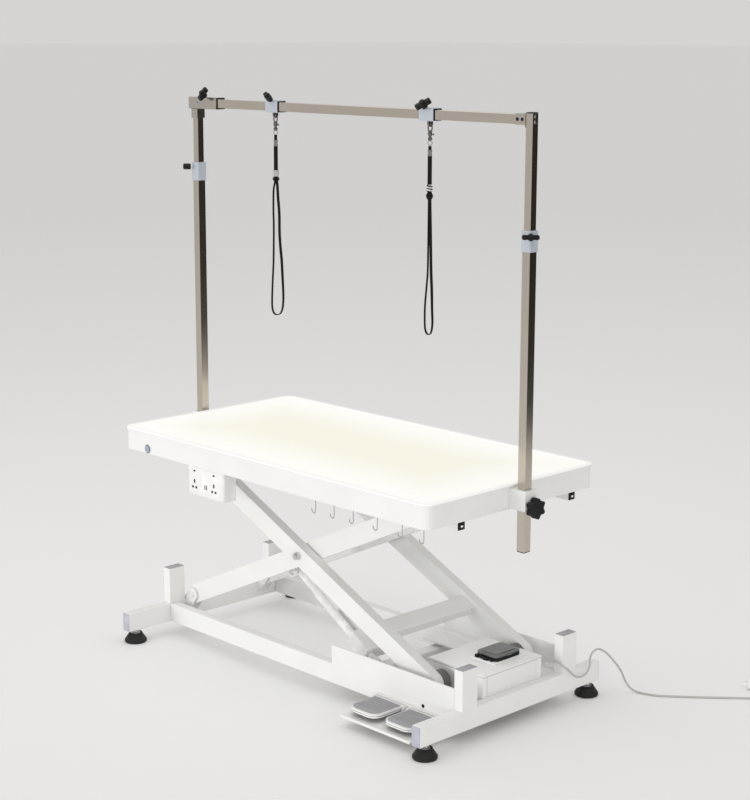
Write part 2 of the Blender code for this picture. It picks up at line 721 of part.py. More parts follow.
tie_inner = rounded(OUTER_TIE_SIZE[0] / 2 - TUBE_WALL, OUTER_TIE_SIZE[1] / 2 - TUBE_WALL,
                    OUTER_TIE_CORNER - TUBE_WALL, 2)
part("outer_tie", slab([tie_outer, tie_inner], 0.0, 2 * outer_tie_half, outer_tie_frame), WHITE, at=OUTER_AT)

roller_sides = {"base": (low_right, OUTER_IN - RUN_GAP - ROLLER_WIDE),
                "table": (high_right, INNER_OUT + RUN_GAP)}
tread = ROLLER_RADIUS - ROLLER_EDGE
ROLLER_PROFILE = [(bore, 0), (tread, 0), (ROLLER_RADIUS, ROLLER_EDGE),
                  (ROLLER_RADIUS, ROLLER_WIDE - ROLLER_EDGE), (tread, ROLLER_WIDE), (bore, ROLLER_WIDE)]
for place, (spot, near) in roller_sides.items():
    for end, sign in (("front", -1), ("rear", 1)):
        roller_frame = frame_along((spot[0], side(near, sign), spot[1]), (0, sign, 0))
        part(place + "_roller_" + end, turned(ROLLER_PROFILE, roller_frame, 28, ring=True), GREY, 0.5,
             at=(spot[0], side(near + ROLLER_WIDE / 2, sign), spot[1]))

# Actuator. Its turn and stroke follow the lift with fixed ratios, so the rod's eye is a slot
# that holds the push pin all the way.
MOUNT_TUBE_LOW = BEAM_LOW + MOUNT_RISE
MOUNT_TUBE_TOP = MOUNT_TUBE_LOW + MOUNT_TUBE_TALL
MOUNT_Z = MOUNT_TUBE_TOP + MOUNT_OVER_TUBE
ACTUATOR_AT = (MOUNT_X, PUSH_Y, MOUNT_Z)
mount = Vector((MOUNT_X, MOUNT_Z))
pivot = Vector(low_left)
rest = Vector(push)


def pushed(turn):
    """Push pin at a lift turn, seen from the actuator's lower pivot."""
    return pivot + Matrix.Rotation(turn, 2) @ (rest - pivot) - mount


def heading_of(vector):
    return math.atan2(vector.y, vector.x)


PUSH_HEADING = heading_of(pushed(0.0))
PUSH_LENGTH = pushed(0.0).length
TURN_RATIO = (heading_of(pushed(LIFT_TRAVEL)) - heading_of(pushed(-LIFT_TRAVEL))) / (2 * LIFT_TRAVEL)
STROKE_RATIO = (pushed(LIFT_TRAVEL).length - pushed(-LIFT_TRAVEL).length) / (2 * LIFT_TRAVEL)


def in_rod(turn):
    """Push pin in the rod's own frame: along it from the lower pivot, and square to it."""
    reach = pushed(turn)
    angle = heading_of(reach) - PUSH_HEADING - TURN_RATIO * turn
    return Vector((reach.length * math.cos(angle) - STROKE_RATIO * turn, reach.length * math.sin(angle)))


slot_near = Vector((PUSH_LENGTH, 0.0))
slot_far = in_rod(LIFT_TRAVEL).lerp(in_rod(-LIFT_TRAVEL), 0.5)
slot_run = slot_far - slot_near
stray = 0.0
for k in range(-20, 21):
    spot = in_rod(LIFT_TRAVEL * k / 20) - slot_near
    share = max(0.0, min(1.0, spot.dot(slot_run) / slot_run.length_squared))
    stray = max(stray, (spot - share * slot_run).length)
SLOT_RADIUS = PUSH_PIN_RADIUS + stray + SINK
print("actuator turn ratio", round(TURN_RATIO, 6), "stroke ratio", round(STROKE_RATIO, 6))
print("actuator length", round(PUSH_LENGTH, 4), "heading", round(math.degrees(PUSH_HEADING), 2),
      "slot run", round(slot_run.length, 4), "slot radius", round(SLOT_RADIUS, 5))

along_rod = Vector((math.cos(PUSH_HEADING), 0, math.sin(PUSH_HEADING)))
across_rod = Vector((-math.sin(PUSH_HEADING), 0, math.cos(PUSH_HEADING)))
rod_turn = Matrix((along_rod, across_rod, along_rod.cross(across_rod))).transposed().to_4x4()
ROD_FRAME = Matrix.Translation(Vector(ACTUATOR_AT)) @ rod_turn


def rod_cylinder(radius, start, end, beside=0.0, steps=20):
    """Cylinder along the actuator, between two distances from its lower pivot."""
    holder = frame_along((MOUNT_X, PUSH_Y + beside, MOUNT_Z), along_rod, (0, 1, 0))
    return round_bar(holder, radius, start, end, steps)


def rod_plate(outline, half):
    """Plate in the actuator's own upright plane."""
    return slab([outline], -half, half, ROD_FRAME)


gearbox_end = SLEEVE_START + LUG_THICK
gearbox = [(GEARBOX_START, -GEARBOX_HALF), (gearbox_end, -GEARBOX_HALF), (gearbox_end, GEARBOX_HALF),
           (GEARBOX_START, GEARBOX_HALF)]
body = part("actuator_body", slab([gearbox], -GEARBOX_SIDES[1], -GEARBOX_SIDES[0], ROD_FRAME), GREY, 0.35,
            bevel=0.003, at=ACTUATOR_AT)
weld(body, rod_plate(stadium((0, 0), (ROD_EYE_LENGTH, 0), MOUNT_EAR_RADIUS), ROD_EYE_HALF))
weld(body, merged(rod_cylinder(SLEEVE_RADIUS, SLEEVE_START, SLEEVE_END),
                  rod_cylinder(MOTOR_RADIUS, SLEEVE_START, SLEEVE_START + MOTOR_LENGTH, MOTOR_BESIDE, 24)))
cut(body, merged(rod_cylinder(SLEEVE_BORE, SLEEVE_START + SLEEVE_FLOOR, SLEEVE_END + OVERCUT),
                 pin_along_y(MOUNT_X, MOUNT_Z, PUSH_PIN_RADIUS + FIT, PUSH_Y - OVERCUT, PUSH_Y + OVERCUT)))

rod_end = PUSH_LENGTH - TIE_RADIUS
rod = part("actuator_rod", rod_cylinder(ROD_RADIUS, PUSH_LENGTH - ROD_INSIDE, rod_end), STEEL, 0.15, 1.0,
           at=ACTUATOR_AT)
weld(rod, rod_plate(stadium(slot_near, slot_far, SLOT_RADIUS + EYE_WALL, 10), EYE_HALF))
weld(rod, rod_plate(stadium((rod_end - EYE_RADIUS, 0), (rod_end + EYE_WALL, 0), NECK_RADIUS), EYE_HALF - SINK))
cut(rod, rod_plate(stadium(slot_near, slot_far, SLOT_RADIUS, 10), EYE_HALF + OVERCUT))

mount_half = RAIL_IN - FIT
mount_tube = part("actuator_mount", box((MOUNT_X - MOUNT_TUBE_HALF, side(mount_half, -1), MOUNT_TUBE_LOW),
                                        (MOUNT_X + MOUNT_TUBE_HALF, side(mount_half, 1), MOUNT_TUBE_TOP)),
                  WHITE, bevel=EDGE)
mount_ear = stadium((MOUNT_X, MOUNT_TUBE_TOP - LUG_THICK), (MOUNT_X, MOUNT_Z), MOUNT_EAR_RADIUS)
ear_gap = ROD_EYE_HALF + FIT + SINK
mount_ears = [plate([mount_ear], PUSH_Y + hand * ear_gap, PUSH_Y + hand * (ear_gap + MOUNT_EAR_THICK))
              for hand in (-1, 1)]
weld(mount_tube, merged(*mount_ears))
mount_reach = ear_gap + MOUNT_EAR_THICK + EDGE
weld(mount_tube, pin_along_y(MOUNT_X, MOUNT_Z, PUSH_PIN_RADIUS, PUSH_Y - mount_reach, PUSH_Y + mount_reach))
inside = MOUNT_TUBE_HALF - TUBE_WALL
cut(mount_tube, box((MOUNT_X - inside, side(RAIL_IN, -1), MOUNT_TUBE_LOW + TUBE_WALL),
                    (MOUNT_X + inside, side(RAIL_IN, 1), MOUNT_TUBE_TOP - TUBE_WALL)))

# Control box with the mains lead's strain relief, and its switch unit under a hinged lid.
BOX_RIGHT = RAIL_RIGHT - FIT
BOX_LEFT = BOX_RIGHT - BOX_LENGTH
box_part = part("control_box", box((BOX_LEFT, side(BOX_HALF, -1), BOX_LOW),
                                   (BOX_RIGHT, side(BOX_HALF, 1), BOX_TOP)), WHITE, 0.4, bevel=2 * EDGE)
GLAND = Vector((RAIL_RIGHT - GLAND_FROM_BEAM, side(BOX_HALF, 1), BOX_TOP - GLAND_DROP))
weld(box_part, turned([(0, -EAR_SUNK), (GLAND_RADIUS, -EAR_SUNK), (GLAND_RADIUS, 0.005),
                       (GLAND_RADIUS - EDGE, 0.006), (GLAND_TIP, GLAND_LENGTH), (0, GLAND_LENGTH)],
                      frame_along(GLAND, (0, 1, 0))))
cut(box_part, box((BOX_LEFT + TUBE_WALL, side(BOX_HALF - TUBE_WALL, -1), BOX_LOW - OVERCUT),
                  (BOX_RIGHT - TUBE_WALL, side(BOX_HALF - TUBE_WALL, 1), BOX_TOP - TUBE_WALL)))
switch_low = BOX_TOP + FIT
lid_low = switch_low + SWITCH_SIZE[2] + FIT
switch_middle = Vector((SWITCH_LEFT + SWITCH_SIZE[0] / 2, SWITCH_NEAR + SWITCH_SIZE[1] / 2, 0))
switch_frame = Matrix.Translation(switch_middle)
switch_outline = rounded(SWITCH_SIZE[0] / 2, SWITCH_SIZE[1] / 2, SWITCH_CORNER_RADIUS, 4)
window_outline = rounded(SWITCH_SIZE[0] / 2 - WINDOW_INSET, SWITCH_SIZE[1] / 2 - WINDOW_INSET,
                         SWITCH_CORNER_RADIUS - EDGE, 4)
part("switch_unit", slab([switch_outline], switch_low, switch_low + SWITCH_SIZE[2], switch_frame), BLACK, 0.5,
     bevel=EDGE / 2)
lid = part("switch_lid", slab([switch_outline], lid_low, lid_low + LID_THICK, switch_frame), LID_GREY, 0.3,
           bevel=EDGE, at=(SWITCH_LEFT, switch_middle.y, lid_low))
weld(lid, slab([window_outline], lid_low + EDGE, lid_low + LID_THICK + WINDOW_PROUD, switch_frame))


# Foot pedals in front of the front rail: layered plates with a ribbed pad, hinged at their heels.
def pedal_outline(x_low, x_high, y_front, y_back, radius, count=5):
    """Plan of a pedal: straight at the hinge and round at the two toe corners."""
    points = [(x_high, y_back), (x_low, y_back)]
    for corner_x, start in ((x_low + radius, 1.0), (x_high - radius, 1.5)):
        for k in range(count + 1):
            angle = math.pi * (start + 0.5 * k / count)
            points.append((corner_x + radius * math.cos(angle), y_front + radius + radius * math.sin(angle)))
    return points


RAIL_FACE = side(RAIL_HALF, -1)
HINGE_Y = RAIL_FACE - PEDAL_HINGE_OFF
HINGE_Z = PEDAL_LOW + PEDAL_HINGE_UP
PEDAL_BACK = HINGE_Y + PEDAL_HINGE_BACK
PEDAL_FRONT = PEDAL_BACK - PEDAL_SIZE[1]
PEDAL_TOP = PEDAL_LOW + PEDAL_SIZE[2]
PLATE_TOP = PEDAL_PLATE_LOW + PEDAL_PLATE_THICK
pedal_lefts = (PEDAL_LEFT_X, PEDAL_LEFT_X + PEDAL_PITCH)
plate_left = pedal_lefts[0] - 2 * PEDAL_LUG_WIDE
plate_right = pedal_lefts[1] + PEDAL_SIZE[0] + 2 * PEDAL_LUG_WIDE
pedal_base = part("pedal_base", box((plate_left, PEDAL_FRONT - PEDAL_PLATE_TOE, PEDAL_PLATE_LOW),
                                    (plate_right, RAIL_FACE - FIT, PLATE_TOP)), WHITE, bevel=EDGE)
lugs = []
hinge_rods = []
for pedal_x in pedal_lefts:
    for lug_x in (pedal_x - PEDAL_LUG_WIDE - PEDAL_LUG_GAP, pedal_x + PEDAL_SIZE[0] + PEDAL_LUG_GAP):
        lugs.append(box((lug_x, HINGE_Y - PEDAL_LUG_HALF, PLATE_TOP - PEDAL_LAYER),
                        (lug_x + PEDAL_LUG_WIDE, HINGE_Y + PEDAL_LUG_HALF, HINGE_Z + PEDAL_LUG_HALF)))
    heel = frame_along((pedal_x, HINGE_Y, HINGE_Z), (1, 0, 0))
    hinge_rods.append(round_bar(heel, PEDAL_ROD_RADIUS, -PEDAL_LAYER, PEDAL_SIZE[0] + PEDAL_LAYER, 16))
back_wall = box((plate_left + PEDAL_LUG_GAP, RAIL_FACE - FIT - SINK - PEDAL_WALL, PLATE_TOP - PEDAL_LAYER),
                (plate_right - PEDAL_LUG_GAP, RAIL_FACE - FIT - SINK, HINGE_Z + PEDAL_WALL_RISE))
weld(pedal_base, merged(*lugs, back_wall))
weld(pedal_base, merged(*hinge_rods))
for name, pedal_x in zip(("pedal_lower", "pedal_raise"), pedal_lefts):
    pedal_end = pedal_x + PEDAL_SIZE[0]
    sole = pedal_outline(pedal_x, pedal_end, PEDAL_FRONT, PEDAL_BACK, PEDAL_TOE)
    waist = pedal_outline(pedal_x + PEDAL_NECK, pedal_end - PEDAL_NECK, PEDAL_FRONT + PEDAL_NECK,
                          PEDAL_BACK - SINK, PEDAL_TOE - PEDAL_NECK)
    pad = pedal_outline(pedal_x + PAD_INSET, pedal_end - PAD_INSET, PEDAL_FRONT + PAD_INSET,
                        PEDAL_BACK - 2 * PAD_INSET, PEDAL_TOE - PAD_INSET)
    pedal = part(name, slab([sole], PEDAL_LOW, PEDAL_LOW + PEDAL_LAYER), WHITE, 0.4,
                 at=(pedal_x + PEDAL_SIZE[0] / 2, HINGE_Y, HINGE_Z))
    weld(pedal, slab([waist], PEDAL_LOW + EDGE, PEDAL_TOP - EDGE))
    weld(pedal, slab([sole], PEDAL_TOP - PEDAL_LAYER, PEDAL_TOP))
    weld(pedal, slab([pad], PEDAL_TOP - EDGE, PEDAL_TOP + PAD_PROUD))
    grooves = []
    for k in range(RIB_COUNT):
        groove_y = PEDAL_FRONT + PEDAL_TOE + k * RIB_PITCH
        grooves.append(box((pedal_x + 2 * PAD_INSET, groove_y, PEDAL_TOP + PAD_PROUD - RIB_DEPTH),
                           (pedal_end - 2 * PAD_INSET, groove_y + RIB_GROOVE, PEDAL_TOP + OVERCUT)))
    cut(pedal, merged(*grooves))
    heel = frame_along((pedal_x, HINGE_Y, HINGE_Z), (1, 0, 0))
    cut(pedal, round_bar(heel, PEDAL_ROD_RADIUS + FIT, -OVERCUT, PEDAL_SIZE[0] + OVERCUT, 16))

# Table top: frame, lit panel, rails under it, socket box, light button and hooks.
apron = rounded(APRON_END, APRON_FRONT, TABLE_CORNER - RIM_PROUD)
rim = rounded(TABLE_LENGTH / 2, TABLE_WIDTH / 2, TABLE_CORNER)
well = rounded(TABLE_LENGTH / 2 - PANEL_INSET, TABLE_WIDTH / 2 - PANEL_INSET, PANEL_CORNER)
sheet = rounded(TABLE_LENGTH / 2 - PANEL_INSET - FIT, TABLE_WIDTH / 2 - PANEL_INSET - FIT, PANEL_CORNER)
recess = TABLE_TOP - PANEL_SUNK - PANEL_THICK - FIT
frame = part("table_frame", slab([apron], APRON_LOW, TABLE_TOP - RIM_DEPTH / 2), WHITE, 0.35, at=TABLE_AT)
weld(frame, slab([rim], TABLE_TOP - RIM_DEPTH, TABLE_TOP))
cut(frame, slab([well], recess, TABLE_TOP + OVERCUT))
cut(frame, slab([rounded(INNER_END, INNER_FRONT, CAVITY_CORNER)], APRON_LOW - OVERCUT, DECK_LOW))
button_z = APRON_LOW + BUTTON_RISE
button_face = -APRON_FRONT - BUTTON_PROUD
button_back = button_face + BUTTON_DEEP
cut(frame, pin_along_y(BUTTON_X, button_z, BUTTON_RADIUS + FIT, -APRON_FRONT - OVERCUT,
                       button_back + BUTTON_TRAVEL + FIT))
part("lit_panel", slab([sheet], recess + FIT, recess + FIT + PANEL_THICK), PANEL_LIGHT, 0.3, at=TABLE_AT)
part("light_button", pin_along_y(BUTTON_X, button_z, BUTTON_RADIUS, button_face, button_back, 24), GREY,
     0.3, 0.6, at=(BUTTON_X, button_face, button_z))

SUBRAIL_IN = OUTER_OUT + SUBRAIL_GAP
SUBRAIL_OUT = SUBRAIL_IN + SUBRAIL_WIDE
subrail_end = TABLE_LENGTH / 2 - SUBRAIL_SHORT
subrail_top = APRON_LOW - FIT
subrail_low = subrail_top - SUBRAIL_WIDE
web_end = INNER_END - WEB_CLEAR
ear_outline = tongue(PIVOT_X, TABLE_PIVOT_Z, EAR_RADIUS, TRACK_UNDER + LEDGE_THICK / 2)
for name, sign in (("table_rail_front", -1), ("table_rail_rear", 1)):
    tube = part(name, box((-subrail_end, side(SUBRAIL_IN, sign), subrail_low),
                          (subrail_end, side(SUBRAIL_OUT, sign), subrail_top)), WHITE, bevel=EDGE, at=TABLE_AT)
    weld(tube, box((-web_end, side(SUBRAIL_IN + SINK, sign), APRON_LOW - OVERCUT),
                   (web_end, side(SUBRAIL_IN + SINK + WEB_THICK, sign), TRACK_UNDER + KEEPER_PROUD)))
    weld(tube, box((-web_end + SINK, side(OUTER_IN - FLANGE_PAST, sign), TRACK_UNDER),
                   (web_end - SINK, side(SUBRAIL_IN + WEB_THICK, sign), TRACK_UNDER + LEDGE_THICK)))
    weld(tube, merged(plate([ear_outline], side(OUTER_IN - RUN_GAP - EAR_THICK, sign),
                            side(OUTER_IN - RUN_GAP, sign)),
                      plate([ear_outline], side(OUTER_OUT + RUN_GAP, sign), side(SUBRAIL_IN + EAR_SUNK, sign))))
    weld(tube, pin_along_y(PIVOT_X, TABLE_PIVOT_Z, PIN_RADIUS, side(OUTER_IN - EAR_THICK - EAR_SUNK, sign),
                           side(OUTER_OUT + EAR_THICK, sign)))
    cut(tube, box((-subrail_end - OVERCUT, side(SUBRAIL_IN + TUBE_WALL, sign), subrail_low + TUBE_WALL),
                  (subrail_end + OVERCUT, side(SUBRAIL_OUT - TUBE_WALL, sign), subrail_top - TUBE_WALL)))

socket_face = -TABLE_WIDTH / 2
socket_top = APRON_LOW - FIT
socket_box = part("socket_box", box((SOCKET_LEFT, socket_face, socket_top - SOCKET_SIZE[2]),
                                    (SOCKET_LEFT + SOCKET_SIZE[0], socket_face + SOCKET_SIZE[1], socket_top)),
                  WHITE, 0.35, bevel=0.003, at=TABLE_AT)


def outlet_slot(x, drop, half_size):
    """Cutter for one slot in the socket box's face."""
    half_wide, half_tall = half_size
    z = socket_top - drop
    return box((x - half_wide, socket_face - OVERCUT, z - half_tall),
               (x + half_wide, socket_face + OUTLET_DEEP, z + half_tall))


slots = []
for reach in OUTLET_FROM_LEFT:
    x = SOCKET_LEFT + reach
    slots.append(outlet_slot(x, LAMP_DROP, LAMP_SLOT))
    slots.append(outlet_slot(x, EARTH_DROP, EARTH_SLOT))
    slots.append(outlet_slot(x - LIVE_APART, LIVE_DROP, LIVE_SLOT))
    slots.append(outlet_slot(x + LIVE_APART, LIVE_DROP, LIVE_SLOT))
for hand in (-1, 1):
    x = SOCKET_LEFT + sum(OUTLET_FROM_LEFT) / 2 + hand * USB_APART
    slots.append(outlet_slot(x, USB_DROP, USB_SLOT))
cut(socket_box, merged(*slots))

strip_y = -INNER_FRONT + FIT
wire_y = strip_y + STRIP_THICK / 2
strip = part("hook_strip", box((HOOK_X[0] - STRIP_ENDS[0], strip_y, APRON_LOW + STRIP_LOW),
                               (HOOK_X[-1] + STRIP_ENDS[1], strip_y + STRIP_THICK, APRON_LOW + STRIP_HIGH)),
             STEEL, 0.3, 0.9, at=TABLE_AT)
hooks = []
for hook_x in HOOK_X:
    bend_z = APRON_LOW - HOOK_DROP + HOOK_CURL
    path = [(hook_x, wire_y, APRON_LOW + OVERCUT), (hook_x, wire_y, bend_z)]
    for k in range(1, 7):
        angle = -math.pi * k / 6
        path.append((hook_x - HOOK_CURL + HOOK_CURL * math.cos(angle), wire_y,
                     bend_z + HOOK_CURL * math.sin(angle)))
    path.append((hook_x - 2 * HOOK_CURL - 2 * SINK, wire_y, bend_z + HOOK_TIP))
    hooks.append(swept(path, HOOK_WIRE, 0))
weld(strip, merged(*hooks))


# Arch. Posts slide in clamps on the table's ends, and the upper posts slide in the lower ones.
def wing_knob(name, corner, axis, across, turn, tip, hub_start):
    """Wing knob: a screw through a sleeve's corner, a round hub and two wings, turned about its screw."""
    hub_end = hub_start + KNOB_TALL
    holder = frame_along(corner, axis, across) @ Matrix.Rotation(math.radians(turn), 4, "Z")
    hub = [(0, tip), (KNOB_SCREW, tip), (KNOB_SCREW, hub_start), (0.008, hub_start), (0.009, hub_start + 0.003),
           (0.009, hub_end - 0.003), (0.007, hub_end), (0, hub_end)]
    knob = part(name, turned(hub, holder, 16), BLACK, 0.45, at=corner)
    wing = [(WING_REACH, -0.004), (WING_REACH, 0.004), (0.017, 0.0062), (0.004, 0.0050)]
    wings = wing + [(-u, v) for u, v in reversed(wing[1:])]
    wings += [(-u, -v) for u, v in wing[1:]] + [(u, -v) for u, v in reversed(wing[2:])]
    weld(knob, slab([wings], hub_start + 0.005, hub_end - 0.004, holder))


def screw_hole(corner, axis, start, end):
    """Cutter for a knob's screw."""
    return round_bar(frame_along(corner, axis), KNOB_SCREW + FIT, start, end, 16)


def tube_box(x, half, z_low, z_high):
    """Square bar or bore round a post's axis."""
    return box((x - half, -half, z_low), (x + half, half, z_high))


diagonal = math.sqrt(2)
hole = POST_WIDE / 2 + FIT
upper_half = UPPER_WIDE / 2
upper_hole = upper_half + FIT
collar_half = COLLAR_WIDE / 2
collar_corner = collar_half * diagonal
clamp_top = TABLE_TOP - RIM_DEPTH - FIT - SINK / 2
star_z = TABLE_TOP - STAR_DROP
star_face = hole + CLAMP_OUTER_WALL + STAR_STAND_OFF
star_low = star_face + STAR_STAND_OFF
STAR_PROFILE = [(0, hole), (STAR_SCREW, hole), (STAR_SCREW, star_face), (STAR_HUB, star_face),
                (STAR_HUB, star_face + 2 * STAR_STAND_OFF), (0, star_face + 2 * STAR_STAND_OFF)]
lobes = []
for k in range(7 * STAR_LOBES):
    angle = math.tau * k / (7 * STAR_LOBES)
    reach = STAR_RADIUS - STAR_WAVE + STAR_WAVE * math.cos(STAR_LOBES * angle)
    lobes.append((reach * math.cos(angle), reach * math.sin(angle)))
for label, hand, post_low in (("left", -1, POST_LOW_LEFT), ("right", 1, POST_LOW_RIGHT)):
    centre_x = hand * POST_X
    clamp_in = hand * (APRON_END + FIT)
    clamp_out = hand * (POST_X + hole + CLAMP_OUTER_WALL)
    outline = [(clamp_in, -CLAMP_HALF), (clamp_out, -CLAMP_HALF), (clamp_out, CLAMP_HALF),
               (clamp_in, CLAMP_HALF)]
    clamp_loops = [outline, square(centre_x, 0, hole)]
    clamp = part("post_clamp_" + label, slab(clamp_loops, clamp_top - CLAMP_TALL, clamp_top), WHITE, 0.4)
    star_frame = frame_along((centre_x, 0, star_z), (hand, 0, 0))
    cut(clamp, round_bar(star_frame, STAR_SCREW + FIT, hole - EDGE, hole + 3 * OVERCUT, 16))
    star = part("star_knob_" + label, turned(STAR_PROFILE, star_frame, 16), BLACK, 0.5,
                at=(centre_x, 0, star_z))
    weld(star, slab([lobes], star_low, star_low + STAR_THICK, star_frame))

    post_top = post_low + POST_LENGTH
    post_loops = [square(centre_x, 0, POST_WIDE / 2), square(centre_x, 0, POST_WIDE / 2 - POST_WALL)]
    part("lower_post_" + label, slab(post_loops, post_low, post_top), STEEL, 0.25, 1.0,
         at=(centre_x, 0, post_low))
    collar = part("collar_" + label, tube_box(centre_x, collar_half, post_top - COLLAR_TALL / 2,
                                              post_top + COLLAR_TALL / 2), LILAC, 0.4, 0.3, 0.0015,
                  at=(centre_x, 0, post_top))
    cut(collar, tube_box(centre_x, hole, post_top - COLLAR_TALL, post_top + FIT))
    cut(collar, tube_box(centre_x, upper_hole, post_top - OVERCUT, post_top + COLLAR_TALL))
    facing = (hand / diagonal, -1 / diagonal, 0)
    knob_at = (centre_x, 0, post_top + COLLAR_TALL / 4)
    cut(collar, screw_hole(knob_at, facing, upper_hole, collar_corner + OVERCUT))
    wing_knob("collar_knob_" + label, knob_at, facing, (0, 0, 1), COLLAR_WING_TURN, upper_half * diagonal + FIT,
              collar_corner + KNOB_STAND_OFF)

    top = ARCH_TOP if hand > 0 else BAR_Z - BAR_SLEEVE - FIT
    upper = part("upper_post_" + label, tube_box(centre_x, upper_half, post_top - UPPER_INSIDE, top), STEEL,
                 0.25, 1.0, EDGE / 2, at=(centre_x, 0, post_top))
    cut(upper, tube_box(centre_x, upper_half - UPPER_WALL, post_top - UPPER_INSIDE - OVERCUT, top + OVERCUT))

# Corner fitting: a sleeve that the crossbar slides into, and a short socket below it for the left upper post.
tilt = (0, -1 / diagonal, 1 / diagonal)
sleeve_low = BAR_Z - BAR_SLEEVE
sleeve_corner = BAR_SLEEVE * diagonal
bar_corner = BAR_WIDE / 2 * diagonal
fitting = part("corner_sleeve", box((CORNER_LEFT, -BAR_SLEEVE, sleeve_low),
                                    (CORNER_RIGHT, BAR_SLEEVE, BAR_Z + BAR_SLEEVE)), STEEL, 0.25, 1.0,
               at=(-POST_X, 0, BAR_Z))
weld(fitting, tube_box(-POST_X, CORNER_SOCKET_HALF, sleeve_low - CORNER_SOCKET_TALL, sleeve_low + EDGE))
cut(fitting, tube_box(-POST_X, upper_hole, sleeve_low - CORNER_SOCKET_TALL - OVERCUT, sleeve_low))
cut(fitting, box((-POST_X + upper_half + CORNER_BLIND, -BAR_HOLE, BAR_Z - BAR_HOLE),
                 (CORNER_RIGHT + OVERCUT, BAR_HOLE, BAR_Z + BAR_HOLE)))
knob_spot = ((CORNER_RIGHT - POST_X + upper_half) / 2, 0, BAR_Z)
cut(fitting, screw_hole(knob_spot, tilt, BAR_HOLE, sleeve_corner + OVERCUT))
wing_knob("corner_knob", knob_spot, tilt, (1, 0, 0), CORNER_WING_TURN, bar_corner + FIT,
          sleeve_corner + KNOB_STAND_OFF)

bar_left = -POST_X + upper_half + CORNER_BLIND + FIT
bar_right = POST_X - upper_half - FIT
bar_half = BAR_WIDE / 2
bar = part("crossbar", box((bar_left, -bar_half, BAR_Z - bar_half), (bar_right, bar_half, BAR_Z + bar_half)),
           STEEL, 0.25, 1.0, EDGE / 2)
lumen = bar_half - UPPER_WALL
cut(bar, box((bar_left - OVERCUT, -lumen, BAR_Z - lumen), (bar_right + OVERCUT, lumen, BAR_Z + lumen)))


# Lasso clamps on the crossbar, each with a swinging snap and a swivelling lead.
def lead_loop(wide, knot, low):
    """Points of the loop under a knot, out and back, with both ends inside the knot."""
    spread = wide / 2 - STRAND
    bend_z = low + STRAND + spread
    close = STRAND + FIT
    start = knot + STRAND_IN_KNOT
    strand = []
    for k in range(12):
        share = k / 12
        opened = close + (spread - close) * math.sin(math.pi * share / 2)
        strand.append((opened, start - (start - bend_z) * share))
    for k in range(5):
        turn = math.pi * k / 10
        strand.append((spread * math.cos(turn), bend_z - spread * math.sin(turn)))
    return [(-u, z) for u, z in strand] + [(0.0, bend_z - spread)] + strand[::-1]


for k in range(2):
    label = str(k + 1)
    lasso_x = LASSO_X[k]
    centre = (lasso_x, 0, BAR_Z)
    sleeve = part("lasso_clamp_" + label, box((lasso_x - LASSO_LENGTH / 2, -BAR_SLEEVE, BAR_Z - BAR_SLEEVE),
                                              (lasso_x + LASSO_LENGTH / 2, BAR_SLEEVE, BAR_Z + BAR_SLEEVE)),
                  LILAC, 0.4, 0.3, 0.0015, at=centre)
    eye_z = BAR_Z - BAR_SLEEVE - EYE_BELOW
    eye_frame = frame_along((lasso_x - EYE_THICK / 2, 0, 0), (1, 0, 0), (0, 1, 0))
    weld(sleeve, slab([tongue(0, eye_z, EYE_RADIUS, BAR_Z - BAR_SLEEVE + EDGE)], 0, EYE_THICK, eye_frame))
    cut(sleeve, box((lasso_x - LASSO_LENGTH, -BAR_HOLE, BAR_Z - BAR_HOLE),
                    (lasso_x + LASSO_LENGTH, BAR_HOLE, BAR_Z + BAR_HOLE)))
    cut(sleeve, slab([circle(0, eye_z, EYE_HOLE)], -OVERCUT, EYE_THICK + OVERCUT, eye_frame))
    cut(sleeve, screw_hole(centre, tilt, BAR_HOLE, sleeve_corner + OVERCUT))
    wing_knob("lasso_knob_" + label, centre, tilt, (1, 0, 0), LASSO_WING_TURN[k], bar_corner + FIT,
              sleeve_corner + KNOB_STAND_OFF)

    ring_z = eye_z + RUN_GAP - RING_RADIUS
    ring_path = [(lasso_x + u, 0, z) for u, z in circle(0, ring_z, RING_RADIUS)]
    snap = part("snap_" + label, swept(ring_path, RING_WIRE, 0, cyclic=True), STEEL, 0.25, 1.0,
                at=(lasso_x, 0, eye_z))
    snap_low = ring_z - RING_RADIUS + EDGE - SNAP_LENGTH
    top = SNAP_LENGTH
    spin_hole = SPIN_RADIUS + FIT
    shank = [(0, top), (0.0030, top), (0.0045, top - 0.004), (0.0045, top - 0.012), (0.0030, top - 0.016),
             (0.0034, 0.018), (0.0062, 0.013), (0.0062, 0.002), (0.0050, 0), (spin_hole, 0),
             (spin_hole, SPIN_INSIDE + SINK), (0, SPIN_INSIDE + SINK)]
    weld(snap, turned(shank, frame_along((lasso_x, 0, snap_low), (0, 0, 1), (1, 0, 0)), 14))

    spin_top = snap_low + SPIN_INSIDE
    knot = BAR_Z - KNOT_DROP
    stem = spin_top - knot
    profile = [(0, 0), (SPIN_RADIUS, 0), (SPIN_RADIUS, 0.0135), (0.0062, 0.0135), (0.0062, 0.0215),
               (0.0042, 0.0225), (0.0042, 0.036), (0.0058, 0.040), (0.0066, 0.060), (0.0058, 0.098),
               (0.0046, 0.100), (0.0046, 0.122), (0.0072, 0.124), (0.0072, stem - 0.004), (0.0050, stem),
               (0, stem)]
    lead = part("lead_" + label, turned([(r, -h) for r, h in profile],
                                        frame_along((lasso_x, 0, spin_top), (0, 0, 1), (1, 0, 0)), 14),
                BLACK, 0.7, at=(lasso_x, 0, snap_low))
    loop = lead_loop(LEAD_WIDE[k], knot, LEAD_LOW[k])
    weld(lead, swept([(lasso_x + u, 0.0, z) for u, z in loop], STRAND, 0))

